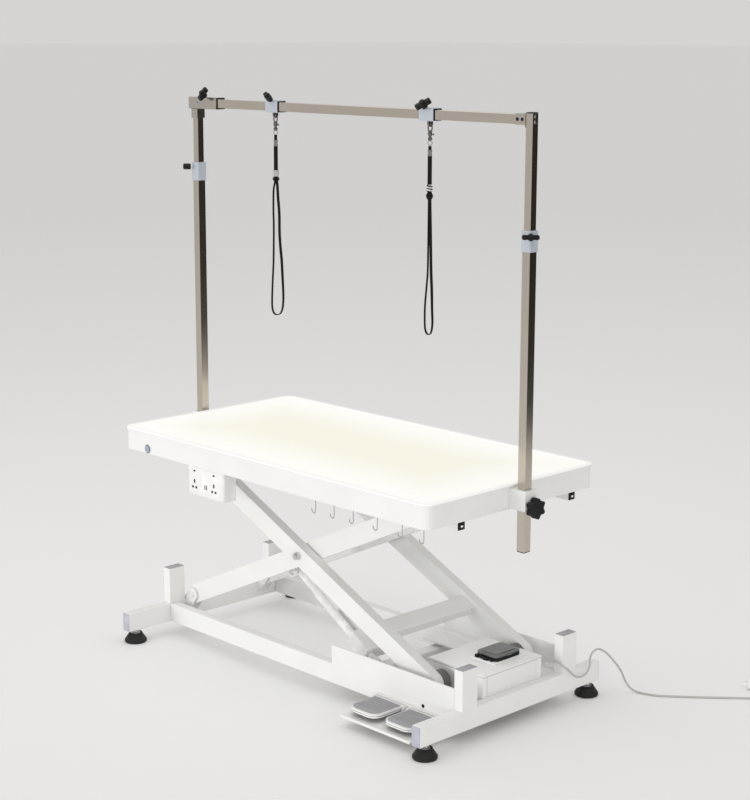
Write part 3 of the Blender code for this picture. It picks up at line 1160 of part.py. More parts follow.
# Mains lead: free cord from the control box's strain relief, coil and plug.
EXIT = GLAND + Vector((0, GLAND_LENGTH + FIT, 0))
FLOOR_Z = CORD_RADIUS + 0.0002
COIL_START = Vector((1.015, 0.677, FLOOR_Z))
COIL_HEADING = math.atan2(0.685, 0.730)
straight = Vector((math.cos(COIL_HEADING), math.sin(COIL_HEADING), 0))
ROUND_THE_STUB = ((0.5965, 0.1745, 0.1285), (0.6045, 0.1850, 0.1290), (0.6180, 0.1893, 0.1285),
                  (0.6345, 0.1895, 0.1240), (0.6490, 0.2020, 0.1095), (0.6535, 0.2326, 0.0830))
CURL = ((0.6545, 0.2690, 0.0822), (0.6550, 0.2855, 0.1005), (0.6553, 0.2860, 0.1225), (0.6565, 0.2965, 0.1395),
        (0.6590, 0.3175, 0.1435), (0.6640, 0.3443, 0.1275), (0.6700, 0.3686, 0.1017), (0.6770, 0.3944, 0.0679),
        (0.6845, 0.4130, 0.0270), (0.6980, 0.4255, 0.0075))
ON_FLOOR = ((0.7260, 0.4340), (0.7613, 0.4470), (0.7917, 0.4708), (0.8533, 0.5247), (0.9131, 0.5809),
            (0.9528, 0.6183))
ROUTE = [EXIT, EXIT + Vector((0, 2 * CORD_RADIUS, 0))]
ROUTE += [Vector(point) for point in ROUND_THE_STUB + CURL]
ROUTE += [Vector((x, y, FLOOR_Z)) for x, y in ON_FLOOR]
ROUTE += [COIL_START - straight * (2 * CORD_RADIUS + FIT), COIL_START - straight * FIT]


def smooth(points, step):
    """Even points along a Catmull-Rom curve through the route, whose two end runs stay straight."""
    fine = []
    for before, first, last, after in zip(points, points[1:], points[2:], points[3:]):
        bend = 2 * before - 5 * first + 4 * last - after
        twist = 3 * first - before - 3 * last + after
        for k in range(12):
            t = k / 12
            fine.append(0.5 * (2 * first + (last - before) * t + bend * t * t + twist * t ** 3))
    fine.append(points[-2])
    length = sum((b - a).length for a, b in zip(fine, fine[1:]))
    count = round(length / step)
    evened = [points[0], fine[0]]
    walked = 0.0
    for a, b in zip(fine, fine[1:]):
        reach = (b - a).length
        while len(evened) <= count and walked + reach >= length * (len(evened) - 1) / count:
            evened.append(a.lerp(b, (length * (len(evened) - 1) / count - walked) / reach))
        walked += reach
    return evened + [points[-2], points[-1]]


cord_points = smooth(ROUTE, CORD_STEP)
for point in cord_points:
    point.z = max(point.z, FLOOR_Z)
cord_length = sum((b - a).length for a, b in zip(cord_points, cord_points[1:]))
part("power_cord", swept(cord_points, CORD_RADIUS, 2), GREY, 0.6)

# The coil spirals in on the floor, climbs in a half turn and spirals out on top.
coil_turn = COIL_HEADING - math.pi / 2
outer_radius = COIL_RADIUS + COIL_TURNS * COIL_PITCH / 2
inner_radius = outer_radius - COIL_PITCH * COIL_TURNS
to_start = Vector((math.cos(coil_turn), math.sin(coil_turn), 0))
coil_centre = COIL_START + straight * (2 * CORD_RADIUS) - outer_radius * to_start
low_z = FLOOR_Z
high_z = FLOOR_Z + 2 * CORD_RADIUS + LAYER_GAP
per_turn = 24
coil_points = [COIL_START.copy()]
inward = COIL_TURNS * per_turn
climb = per_turn // 2
for k in range(2 * inward + climb + 1):
    if k <= inward:
        radius = outer_radius - COIL_PITCH * k / per_turn
        height = low_z
    elif k <= inward + climb:
        share = (k - inward) / climb
        radius = inner_radius - COIL_PITCH * 0.25 * math.sin(math.pi * share)
        height = low_z + (high_z - low_z) * (1 - math.cos(math.pi * share)) / 2
    else:
        radius = inner_radius + COIL_PITCH * (k - inward - climb) / per_turn
        height = high_z
    angle = coil_turn + math.tau * k / per_turn
    coil_points.append(coil_centre + Vector((radius * math.cos(angle), radius * math.sin(angle), 0)))
    coil_points[-1].z = height
leaving = coil_turn + math.tau * (2 * inward + climb) / per_turn + math.pi / 2
away = Vector((math.cos(leaving), math.sin(leaving), 0))
tail = coil_points[-1]
for k in range(1, 5):
    step = tail + away * (TAIL_STEP * k)
    step.z = tail.z + (PLUG_RADIUS - tail.z) * (1 - math.cos(math.pi * k / 4)) / 2
    coil_points.append(step)
coil_end = coil_points[-1] + away * (2 * CORD_RADIUS)
coil_points.append(coil_end)
least = 1.0
for a in range(len(coil_points)):
    for b in range(a + per_turn // 2, len(coil_points)):
        least = min(least, (coil_points[a] - coil_points[b]).length)
coil_length = sum((b - a).length for a, b in zip(coil_points, coil_points[1:]))
print("cord length", round(cord_length, 3), "coil length", round(coil_length, 3))
print("least gap between the coil's turns (mm)", round(1000 * (least - 2 * CORD_RADIUS), 2))
part("cord_coil", swept(coil_points, CORD_RADIUS, 1), GREY, 0.6)

plug_start = coil_end + away * FIT
PLUG_PROFILE = [(0, 0), (0.0060, 0), (0.0095, 0.014), (0.0165, 0.020), (PLUG_RADIUS, 0.026),
                (PLUG_RADIUS, PLUG_LENGTH), (0, PLUG_LENGTH)]
plug = part("plug", turned(PLUG_PROFILE, frame_along(plug_start, away)), GREY, 0.4)
prongs = []
for hand in (-1, 1):
    beside = plug_start + Vector((-away.y, away.x, 0)) * (PRONG_APART * hand)
    prongs.append(round_bar(frame_along(beside, away), PRONG_RADIUS, PLUG_LENGTH - EAR_SUNK,
                            PLUG_LENGTH + PRONG_REACH, 12))
weld(plug, merged(*prongs))

# Moving groups hang from empties on their joints, each under the group that carries it.
GROUPS = (
    ("base", None, (0, 0, 0), ("base_rail_front", "base_rail_rear", "crossbeam_left", "crossbeam_right",
                               "actuator_mount", "control_box", "switch_unit", "switch_lid", "pedal_base",
                               "pedal_lower", "pedal_raise", "power_cord", "cord_coil", "plug",
                               "foot_front_left", "foot_front_right", "foot_rear_left", "foot_rear_right")),
    ("actuator", "base", ACTUATOR_AT, ("actuator_body", "actuator_rod")),
    ("inner_arms", "base", INNER_AT, ("inner_arm_front", "inner_arm_rear", "inner_tie", "table_roller_front",
                                      "table_roller_rear")),
    ("outer_arms", "inner_arms", OUTER_AT, ("outer_arm_front", "outer_arm_rear", "outer_tie",
                                            "base_roller_front", "base_roller_rear")),
    ("table", "outer_arms", TABLE_AT, ("table_frame", "lit_panel", "table_rail_front", "table_rail_rear",
                                       "socket_box", "light_button", "hook_strip", "post_clamp_left",
                                       "post_clamp_right", "star_knob_left", "star_knob_right")),
    ("left_post", "table", (-POST_X, 0, POST_LOW_LEFT),
     ("lower_post_left", "collar_left", "collar_knob_left")),
    ("right_post", "table", (POST_X, 0, POST_LOW_RIGHT),
     ("lower_post_right", "collar_right", "collar_knob_right")),
    ("arch", "left_post", (0, 0, BAR_Z), ("upper_post_left", "corner_sleeve", "upper_post_right", "crossbar",
                                          "corner_knob")),
    ("lasso_1", "arch", (LASSO_X[0], 0, BAR_Z), ("lasso_clamp_1", "lasso_knob_1", "snap_1", "lead_1")),
    ("lasso_2", "arch", (LASSO_X[1], 0, BAR_Z), ("lasso_clamp_2", "lasso_knob_2", "snap_2", "lead_2")))
spots = {}
for group, carrier, spot, names in GROUPS:
    spots[group] = Vector(spot)
    anchor = bpy.data.objects.new("group_" + group, None)
    anchor.location = spot
    TABLE.objects.link(anchor)
    if carrier:
        anchor.parent = bpy.data.objects["group_" + carrier]
        anchor.matrix_parent_inverse = Matrix.Translation(-spots[carrier])
    for name in names:
        item = bpy.data.objects[name]
        item.parent = anchor
        item.matrix_parent_inverse = Matrix.Translation(-spots[group])
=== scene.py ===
# %% [markdown]
# # A lift table for grooming pets
# This lesson dresses a finished mechanical model of an electric grooming table: a scissor lift on a tube
# base, a table top that glows from below, and a square steel arch that holds two leads.
# The solids are loaded first and never moved. Everything made here rides on one of their bodies,
# so that the table still rises, the clamps still slide and the leads still swing.

# %% Load the solids
import math

import bmesh
import bpy
from mathutils import Matrix
from mathutils import Vector


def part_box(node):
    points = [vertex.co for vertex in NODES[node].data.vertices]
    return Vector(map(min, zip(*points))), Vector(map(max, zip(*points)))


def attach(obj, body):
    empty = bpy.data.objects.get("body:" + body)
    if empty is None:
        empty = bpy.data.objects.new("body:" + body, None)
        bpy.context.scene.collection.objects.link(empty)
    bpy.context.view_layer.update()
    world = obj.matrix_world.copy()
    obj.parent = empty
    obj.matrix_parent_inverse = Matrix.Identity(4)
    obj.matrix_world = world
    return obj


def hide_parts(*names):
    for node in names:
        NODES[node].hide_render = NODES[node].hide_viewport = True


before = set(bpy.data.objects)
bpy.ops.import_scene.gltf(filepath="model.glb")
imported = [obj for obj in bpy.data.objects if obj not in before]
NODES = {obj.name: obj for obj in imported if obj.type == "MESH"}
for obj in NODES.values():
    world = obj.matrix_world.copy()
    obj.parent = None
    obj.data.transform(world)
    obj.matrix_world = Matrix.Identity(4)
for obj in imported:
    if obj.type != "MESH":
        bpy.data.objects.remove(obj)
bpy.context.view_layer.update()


def added(name, data):
    """New object in the scene."""
    item = bpy.data.objects.new(name, data)
    bpy.context.scene.collection.objects.link(item)
    return item


# %% [markdown]
# ## Camera
# The picture was taken from the front right corner, a little above the table top, with a long lens.
# Its place was worked out from the straight edges of the table and the arch, so the yaw, pitch and the
# tiny roll are written as angles, and the lens as a focal length in pixels of the picture.

# %% Camera
PICTURE_TALL = 800
FOCAL_PIXELS = 1790.6
SENSOR_WIDTH = 36.0
CAMERA_AT = (3.5826, -3.3628, 1.8097)
CAMERA_YAW = 0.80231
CAMERA_PITCH = 0.20559
CAMERA_ROLL = 0.00283

lens = bpy.data.cameras.new("camera")
lens.sensor_width = SENSOR_WIDTH
lens.lens = FOCAL_PIXELS * SENSOR_WIDTH / PICTURE_TALL
camera = added("camera", lens)
camera.matrix_world = (Matrix.Translation(CAMERA_AT) @ Matrix.Rotation(CAMERA_YAW, 4, "Z")
                       @ Matrix.Rotation(math.pi / 2 - CAMERA_PITCH, 4, "X")
                       @ Matrix.Rotation(CAMERA_ROLL, 4, "Z"))
bpy.context.scene.camera = camera
print("lens", round(lens.lens, 2), "mm")

# %% [markdown]
# ## Nodes as Python
# A finish is a small program of nodes. Wiring each Math node by hand hides the idea behind it,
# so a `Wire` wraps one socket and turns +, - and * into Math nodes. `Nodes` adds any other node
# from its type, its settings and the values of its sockets, and serves both shaders and Geometry Nodes.

# %% Wire and Nodes
class Wire:
    """One output socket that can be used in sums."""

    def __init__(self, nodes, socket):
        self.nodes = nodes
        self.socket = socket

    def sum(self, operation, *others):
        terms = dict(enumerate((self,) + others))
        return self.nodes.node("ShaderNodeMath", {"operation": operation}, terms)

    def __add__(self, other):
        return self.sum("ADD", other)

    __radd__ = __add__

    def __sub__(self, other):
        return self.sum("SUBTRACT", other)

    def __rsub__(self, other):
        return self.nodes.node("ShaderNodeMath", {"operation": "SUBTRACT"}, {0: other, 1: self})

    def __mul__(self, other):
        return self.sum("MULTIPLY", other)

    __rmul__ = __mul__

    def step(self, low, high):
        """Smooth rise from 0 at low to 1 at high."""
        return self.nodes.node("ShaderNodeMapRange", {"interpolation_type": "SMOOTHSTEP"},
                               {"Value": self, "From Min": low, "From Max": high})


class Nodes:
    """A node tree and one way to add to it."""

    def __init__(self, tree):
        self.tree = tree

    def node(self, kind, settings=None, inputs=None, output=0):
        """Add a node: its settings first, then the values, wires or lists of wires of its sockets."""
        made = self.tree.nodes.new(kind)
        for key, value in (settings or {}).items():
            setattr(made, key, value)
        for key, value in (inputs or {}).items():
            for wire in value if isinstance(value, list) else [value]:
                if isinstance(wire, Wire):
                    self.tree.links.new(wire.socket, made.inputs[key])
                else:
                    made.inputs[key].default_value = wire
        return Wire(self, made.outputs[output])


# %% [markdown]
# A `Finish` is a material with its Principled shader at hand. Patterns read Object coordinates, which stay
# with a piece when its body moves. Two masks are used again and again: how far a point lies along an axis,
# and noise.

# %% Finish
STAIN_FULL = 0.80


class Finish(Nodes):
    """A material and short ways to build it."""

    def __init__(self, name, colour, roughness, metallic=0.0):
        self.material = bpy.data.materials.new(name)
        self.material.use_nodes = True
        super().__init__(self.material.node_tree)
        self.shader = self.tree.nodes["Principled BSDF"]
        self.set("Base Color", (*colour, 1.0))
        self.set("Roughness", roughness)
        self.set("Metallic", metallic)

    def set(self, socket, value):
        """Give one of the shader's sockets a value or a wire."""
        if isinstance(value, Wire):
            self.tree.links.new(value.socket, self.shader.inputs[socket])
        else:
            self.shader.inputs[socket].default_value = value

    def place(self):
        """Object coordinates."""
        return self.node("ShaderNodeTexCoord", output="Object")

    def along(self, axis, start=(0, 0, 0)):
        """Distance of a point along an axis from a start."""
        offset = self.node("ShaderNodeVectorMath", {"operation": "SUBTRACT"}, {0: self.place(), 1: start})
        return self.node("ShaderNodeVectorMath", {"operation": "DOT_PRODUCT"}, {0: offset, 1: axis}, "Value")

    def noise(self, scale, detail=2.0, stretch=(1, 1, 1)):
        """Soft noise, finer with a larger scale, drawn out along an axis with a smaller stretch."""
        where = self.node("ShaderNodeMapping", inputs={"Vector": self.place(), "Scale": stretch})
        return self.node("ShaderNodeTexNoise", inputs={"Vector": where, "Scale": scale, "Detail": detail})

    def blend(self, mask, first, second):
        """Colour that goes from first to second as the mask goes from 0 to 1."""
        sides = [side if isinstance(side, Wire) else (*side, 1.0) for side in (first, second)]
        return self.node("ShaderNodeMix", {"data_type": "RGBA"}, {0: mask, 6: sides[0], 7: sides[1]}, 2)

    def stained(self, scale, detail, colour, worn, low=0.45):
        """Colour that turns into a worn one in soft patches."""
        return self.blend(self.noise(scale, detail).step(low, STAIN_FULL), colour, worn)

    def bump(self, height, strength, distance):
        """Small relief from a height wire."""
        relief = {"Height": height, "Strength": strength, "Distance": distance}
        self.set("Normal", self.node("ShaderNodeBump", inputs=relief))


# %% [markdown]
# ## Finishes
# Powder coat is a baked plastic paint: it flows into a faint orange-peel relief, and handling dulls it in
# patches. The relief is fine noise in a Bump node, and the patches only touch the roughness and a breath of
# colour. Where one solid has two finishes, such as an arm with zinc bolts in it, a mask of its own
# coordinates parts them.

# %% Painted and moulded finishes
ZINC_TONE = (0.70, 0.70, 0.69)
WHITE_TONE = (0.86, 0.86, 0.84)
PLASTIC_TONE = (0.84, 0.84, 0.83)
LILAC_TONE = (0.48, 0.515, 0.575)
RUBBER_TONE = (0.010, 0.010, 0.010)
LIFT_MIDDLE = 0.027
RELIEF = 0.0004
MASK_EDGE = 0.0002
UP = (0, 0, 1)


def toned(colour, factor, lift=0.0):
    """A colour made darker or lighter."""
    return tuple(min(1.0, factor * part + lift) for part in colour)


def powder_coat(name, colour, gloss=0.36, lit_above=None, band=None):
    """Baked paint with orange peel and slightly handled patches.

    Near the height lit_above, a painted glow stands for the light that the sheet beside it throws. With a
    band of distances from the lift's middle plane, what stands outside the band is zinc plate.
    """
    paint = Finish(name, colour, gloss)
    patches = paint.noise(7.0, 4.0)
    coat = paint.blend(patches.step(0.35, 0.75), colour, toned(colour, 0.965))
    roughness = gloss + 0.10 * patches
    if band is not None:
        near, far = band
        from_middle = paint.along((0, 1, 0), (0, LIFT_MIDDLE, 0)).sum("ABSOLUTE")
        inside = 1 - from_middle.step(near - 2 * MASK_EDGE, near)
        bolt = inside.sum("MAXIMUM", from_middle.step(far, far + 2 * MASK_EDGE))
        coat = paint.blend(bolt, coat, ZINC_TONE)
        roughness = roughness - 0.08 * bolt
        paint.set("Metallic", bolt)
    paint.set("Base Color", coat)
    paint.set("Roughness", roughness)
    paint.bump(paint.noise(620.0), 0.10, RELIEF)
    if lit_above is not None:
        # Painted glow on the top edge: the lit sheet's light on the frame, painted as emission.
        lip = paint.along(UP).step(lit_above - 0.004, lit_above - 0.001)
        paint.set("Emission Color", paint.blend(lip, (0.0, 0.0, 0.0), (1.0, 0.98, 0.92)))
        paint.set("Emission Strength", 0.22)
    return paint.material


def moulded(name, colour, gloss=0.45, grain=900.0, relief=0.18):
    """Moulded plastic with a fine spark-eroded grain."""
    paint = Finish(name, colour, gloss)
    paint.set("Specular IOR Level", 0.25 if max(colour) < 0.05 else 0.5)
    cells = paint.noise(grain, 3.0)
    paint.set("Base Color", paint.stained(30.0, 3.0, colour, toned(colour, 1.25, 0.004)))
    paint.set("Roughness", gloss + 0.15 * cells)
    paint.bump(cells, relief, RELIEF)
    return paint.material


def rubber(name, colour):
    """Matt rubber with dust in its pores."""
    paint = Finish(name, colour, 0.72)
    pores = paint.noise(420.0, 4.0)
    paint.set("Base Color", paint.stained(24.0, 5.0, colour, toned(colour, 1.0, 0.02), 0.50))
    paint.set("Roughness", 0.62 + 0.2 * pores)
    paint.bump(pores, 0.25, 0.0005)
    return paint.material


WHITE_COAT = powder_coat("white_powder_coat", WHITE_TONE)
WHITE_RIM = powder_coat("white_table_edge", (0.85, 0.85, 0.84), 0.34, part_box("table_frame")[1][2])
INNER_ARM_COAT = powder_coat("inner_arm_coat", WHITE_TONE, 0.38, band=(0.128, 0.158))
OUTER_ARM_COAT = powder_coat("outer_arm_coat", WHITE_TONE, 0.38, band=(0.162, 0.192))
LILAC_COAT = powder_coat("lilac_grey_coat", LILAC_TONE, 0.40)
WHITE_PLASTIC = moulded("white_plastic", PLASTIC_TONE, 0.38, 700.0, 0.06)
LILAC_CAP = moulded("lilac_cap_plastic", (0.46, 0.47, 0.54), 0.50, 700.0, 0.10)
CAP_GREY = moulded("cap_grey_plastic", (0.38, 0.38, 0.40), 0.50)
BLACK_PLASTIC = moulded("black_plastic", (0.007, 0.007, 0.008), 0.42)
DARK_LID = moulded("dark_lid_plastic", (0.13, 0.135, 0.13), 0.26)
ROLLER_GREY = moulded("roller_nylon", (0.12, 0.12, 0.115), 0.42)
TUBE_WHITE = moulded("actuator_tube_coat", (0.80, 0.80, 0.78), 0.34, 800.0, 0.05)
SLIDER_GREY = moulded("slider_grey_plastic", (0.42, 0.42, 0.42), 0.40)
FOOT_RUBBER = rubber("foot_rubber", RUBBER_TONE)
CORD_SHEATH = rubber("cord_sheath", (0.50, 0.50, 0.48))

# %% [markdown]
# Stainless tube is polished along its length, so its scratches are long thin streaks.
# Noise that is drawn out a hundred times along one axis gives them, in the roughness and in a low relief.

# %% Metals
METAL_RELIEF = 0.0002
STREAK_STRETCH = 0.012


def brushed(name, colour, along, gloss):
    """Stainless steel with fine polishing streaks along one axis."""
    paint = Finish(name, colour, gloss, 1.0)
    streaks = paint.noise(900.0, 3.0, tuple(STREAK_STRETCH if axis == along else 1.0 for axis in "XYZ"))
    cloud = paint.noise(9.0, 3.0)
    paint.set("Base Color", paint.blend(streaks.step(0.30, 0.75), toned(colour, 0.93), colour))
    paint.set("Roughness", gloss - 0.04 + 0.08 * streaks + 0.04 * cloud)
    paint.bump(streaks, 0.03, METAL_RELIEF)
    return paint.material


def plated(name, colour, gloss):
    """Plated metal with faint handling marks."""
    paint = Finish(name, colour, gloss, 1.0)
    paint.set("Base Color", paint.stained(60.0, 6.0, colour, toned(colour, 0.86), 0.48))
    paint.set("Roughness", gloss + 0.14 * paint.noise(60.0, 6.0).step(0.45, 0.75))
    paint.bump(paint.noise(260.0), 0.04, METAL_RELIEF)
    return paint.material


STEEL_TONE = (0.61, 0.55, 0.478)
STEEL_UPRIGHT = brushed("steel_upright", STEEL_TONE, "Z", 0.15)
STEEL_BAR = brushed("steel_bar", STEEL_TONE, "X", 0.16)
STEEL_FITTING = brushed("steel_fitting", (0.56, 0.52, 0.47), "X", 0.20)
CHROME = plated("chrome_plate", (0.55, 0.55, 0.56), 0.16)
BRONZE_CHROME = plated("dark_chrome_plate", (0.20, 0.18, 0.16), 0.22)
FERRULE_METAL = plated("crimped_metal", (0.30, 0.30, 0.30), 0.30)
ZINC = plated("zinc_plate", ZINC_TONE, 0.28)
print("finishes", len(bpy.data.materials))

# %% [markdown]
# ## Finishes that change along an axis
# A wing knob is a steel screw with a black grip moulded on it, a levelling foot is a rubber bell with a
# steel stud, and a pedal is a white plate with a grey rubber pad. Each of these is one solid, because its
# parts move as one, so the distance along the screw, or the height, tells one finish from the other.

# %% Knob, foot and pedal finishes
def grip_on_screw(name, start, axis, hub):
    """Black grip past the hub's start, zinc screw before it."""
    paint = Finish(name, ZINC_TONE, 0.3)
    paint.set("Specular IOR Level", 0.25)
    grip = paint.along(axis, start).step(hub - 0.0003, hub)
    cells = paint.noise(900.0, 3.0)
    black = paint.stained(30.0, 3.0, (0.006, 0.006, 0.007), (0.014, 0.014, 0.015))
    paint.set("Base Color", paint.blend(grip, ZINC_TONE, black))
    paint.set("Metallic", 1 - grip)
    paint.set("Roughness", 0.28 + 0.12 * grip + 0.12 * cells)
    paint.bump(cells, 0.15, RELIEF)
    return paint.material


def two_by_height(name, height, low_colour, high_colour, metal, gloss):
    """One finish below a height and another above it; metal and gloss give both, lower first."""
    paint = Finish(name, low_colour, gloss[0])
    upper = paint.along(UP).step(height - MASK_EDGE, height + MASK_EDGE)
    grain = paint.noise(520.0, 3.0)
    low_worn = paint.stained(26.0, 4.0, low_colour, toned(low_colour, 1.02, 0.015))
    high_worn = paint.stained(26.0, 4.0, high_colour, toned(high_colour, 0.90))
    paint.set("Base Color", paint.blend(upper, low_worn, high_worn))
    paint.set("Metallic", metal[0] + (metal[1] - metal[0]) * upper)
    paint.set("Roughness", gloss[0] + (gloss[1] - gloss[0]) * upper + 0.12 * grain)
    paint.bump(grain, 0.18, RELIEF)
    return paint.material


def layered_pedal(name, pad_height, lines):
    """White pedal with a grey pad on top and dark lines at some heights, painted shade in the gaps between
    its layers.
    """
    paint = Finish(name, PLASTIC_TONE, 0.40)
    height = paint.along(UP)
    pad = height.step(pad_height - MASK_EDGE, pad_height + MASK_EDGE)
    # Dark bands at the given heights: painted shade of the gaps between the pedal's layers.
    painted_gap_shade = 0.0
    for low, high in lines:
        painted_gap_shade = height.step(low - MASK_EDGE, low) * (1 - height.step(high, high + MASK_EDGE)) + painted_gap_shade
    grain = paint.noise(520.0, 3.0)
    pad_tone = paint.stained(26.0, 4.0, (0.37, 0.37, 0.38), (0.33, 0.33, 0.34))
    body = paint.blend(painted_gap_shade, PLASTIC_TONE, (0.10, 0.10, 0.10))
    paint.set("Base Color", paint.blend(pad, body, pad_tone))
    paint.set("Roughness", 0.40 + 0.20 * pad + 0.12 * grain)
    paint.bump(grain, 0.18, RELIEF)
    return paint.material


NUT_Z = 0.0262
FOOT_FINISH = two_by_height("foot_rubber_and_stud", NUT_Z, RUBBER_TONE, ZINC_TONE, (0.0, 1.0), (0.62, 0.28))
CLAMP_FINISH = two_by_height("clamp_and_eye", 1.5706, (0.22, 0.21, 0.20), LILAC_TONE, (1.0, 0.0),
                             (0.24, 0.40))
PEDAL_FINISH = layered_pedal("pedal_plate_and_pad", 0.0582, ((0.0440, 0.0474), (0.0514, 0.0520)))

# %% [markdown]
# ## The lit top
# The table top is a milky acrylic sheet over rows of lamps. It is brightest near the rim, where the lamps
# sit, and falls off to a warm cream in the middle. The distance to the rim comes from the Object
# coordinates, and that one mask mixes both the sheet's glow and its colour, whose fall-off is painted light.

# %% Lit panel, button ring and webbing finishes
def glowing_sheet(name, low, high):
    """Milky acrylic, lit from its edges."""
    paint = Finish(name, (0.60, 0.59, 0.55), 0.55)
    middle_x = (low[0] + high[0]) / 2
    middle_y = (low[1] + high[1]) / 2
    gap_x = (high[0] - low[0]) / 2 - paint.along((1, 0, 0), (middle_x, 0, 0)).sum("ABSOLUTE")
    gap_y = (high[1] - low[1]) / 2 - paint.along((0, 1, 0), (0, middle_y, 0)).sum("ABSOLUTE")
    inward = gap_x.sum("MINIMUM", gap_y) + 0.02 * paint.noise(3.0)
    middle = inward.step(0.005, 0.28)
    # The glow is the sheet's own light; the same fall-off in its colour is painted light of the lamps under
    # it.
    paint.set("Base Color", paint.blend(middle, (0.60, 0.60, 0.58), (0.56, 0.55, 0.49)))
    paint.set("Emission Color", paint.blend(middle, (1.0, 0.99, 0.95), (0.94, 0.91, 0.76)))
    paint.set("Emission Strength", 0.47)
    paint.bump(paint.noise(300.0), 0.03, 0.0003)
    return paint.material


LIT_SHEET = glowing_sheet("lit_acrylic", *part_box("lit_panel"))

ring_paint = Finish("button_ring", (0.30, 0.42, 0.60), 0.35)
ring_paint.set("Roughness", 0.25 + 0.2 * ring_paint.noise(400.0))
ring_paint.set("Emission Color", (0.35, 0.55, 0.95, 1.0))
ring_paint.set("Emission Strength", 0.18)
RING_BLUE = ring_paint.material

woven = Finish("lead_webbing", (0.006, 0.006, 0.006), 0.62)
woven.set("Specular IOR Level", 0.2)
ribs = (woven.along(UP) * 2600.0).sum("SINE")
woven.set("Base Color", woven.blend(woven.noise(60.0, 4.0), (0.004, 0.004, 0.004), (0.010, 0.0095, 0.0095)))
woven.set("Roughness", 0.50 + 0.25 * woven.noise(350.0))
woven.bump(ribs + woven.noise(900.0), 0.30, 0.0003)
WEBBING = woven.material

# %% [markdown]
# ## Dressing the solids
# The solids come as loose triangles. A Weld, left as a modifier, joins them.
# The knobs sit on screws that point in different ways: the collar knobs aim out of a corner of their post,
# the three on the crossbar lean half way up, and the star knobs lie level. Each finish gets its screw's
# axis and the distance at which the grip starts.

# %% Materials of the solids
WELD_GAP = 0.00002
BAR_Z = 1.58776
POST_X = 0.656
LASSO_X = (-0.305, 0.307)
SLANT = math.sqrt(0.5)
COLLAR_GRIP = 0.0249
STAR_GRIP = 0.0257
BAR_GRIP = 0.0268


def dress(material, names):
    """Give solids a finish and join their triangles."""
    for name in names.split():
        item = NODES[name]
        item.data.materials.clear()
        item.data.materials.append(material)
        item.modifiers.new("join", "WELD").merge_threshold = WELD_GAP


dress(WHITE_COAT, "base_rail_front base_rail_rear crossbeam_left crossbeam_right actuator_mount control_box")
dress(WHITE_COAT, "pedal_base post_clamp_left post_clamp_right table_rail_front table_rail_rear")
dress(WHITE_COAT, "inner_tie outer_tie")
dress(INNER_ARM_COAT, "inner_arm_front inner_arm_rear")
dress(OUTER_ARM_COAT, "outer_arm_front outer_arm_rear")
dress(WHITE_RIM, "table_frame")
dress(LIT_SHEET, "lit_panel")
dress(PEDAL_FINISH, "pedal_lower pedal_raise")
dress(WHITE_PLASTIC, "socket_box plug")
dress(BLACK_PLASTIC, "switch_unit lead_1 lead_2")
dress(DARK_LID, "switch_lid")
dress(ROLLER_GREY, "base_roller_front base_roller_rear table_roller_front table_roller_rear")
dress(TUBE_WHITE, "actuator_body actuator_rod")
dress(CHROME, "light_button hook_strip snap_1 snap_2")
dress(STEEL_UPRIGHT, "lower_post_left lower_post_right upper_post_left upper_post_right")
dress(STEEL_BAR, "crossbar")
dress(STEEL_FITTING, "corner_sleeve")
dress(LILAC_COAT, "collar_left collar_right")
dress(CLAMP_FINISH, "lasso_clamp_1 lasso_clamp_2")
dress(FOOT_FINISH, "foot_front_left foot_front_right foot_rear_left foot_rear_right")
dress(CORD_SHEATH, "power_cord cord_coil")
screws = [(name, (0, 0, BAR_Z), (0, -SLANT, SLANT), BAR_GRIP)
          for name in ("corner_knob", "lasso_knob_1", "lasso_knob_2")]
for side, hand in (("left", -1), ("right", 1)):
    post = (hand * POST_X, 0, 0)
    screws.append(("collar_knob_" + side, post, (hand * SLANT, -SLANT, 0), COLLAR_GRIP))
    screws.append(("star_knob_" + side, post, (hand, 0, 0), STAR_GRIP))
for screw in screws:
    dress(grip_on_screw(*screw), screw[0])

# %% [markdown]
# ## The mains lead
# The lead leaves the control box at the rear, rounds the corner upright, makes one springy curl and drops
# to the floor. The rest of its length is wound up as for storage, outside the picture. The route is a short
# list of given points, a smooth curve is drawn through them, and the coil is a formula.

# %% Route of the mains lead
CORD_RADIUS = 0.0027
CORD_STEP = 0.006
FLOOR_Z = CORD_RADIUS + 0.0002
EXIT = Vector((0.594, 0.1568, 0.128))
COIL_START = Vector((1.015, 0.677, FLOOR_Z))
COIL_HEADING = math.atan2(0.685, 0.730)
COIL_RADIUS = 0.0305
COIL_TURNS = 3
COIL_PITCH = 0.0061
LAYER_GAP = 0.0006
PLUG_RADIUS = 0.018
TAIL_STEPS = 4
TAIL_STEP = 0.0105
ROUND_THE_STUB = ((0.5965, 0.1745, 0.1285), (0.6045, 0.1850, 0.1290), (0.6180, 0.1893, 0.1285),
                  (0.6345, 0.1895, 0.1240), (0.6490, 0.2020, 0.1095), (0.6535, 0.2326, 0.0830))
CURL = ((0.6545, 0.2690, 0.0822), (0.6550, 0.2855, 0.1005), (0.6553, 0.2860, 0.1225),
        (0.6565, 0.2965, 0.1395), (0.6590, 0.3175, 0.1435), (0.6640, 0.3443, 0.1275),
        (0.6700, 0.3686, 0.1017), (0.6770, 0.3944, 0.0679), (0.6845, 0.4130, 0.0270),
        (0.6980, 0.4255, 0.0075))
ON_FLOOR = ((0.7260, 0.4340), (0.7613, 0.4470), (0.7917, 0.4708), (0.8533, 0.5247), (0.9131, 0.5809),
            (0.9528, 0.6183))


def level(angle):
    """Unit vector in the floor's plane."""
    return Vector((math.cos(angle), math.sin(angle), 0))


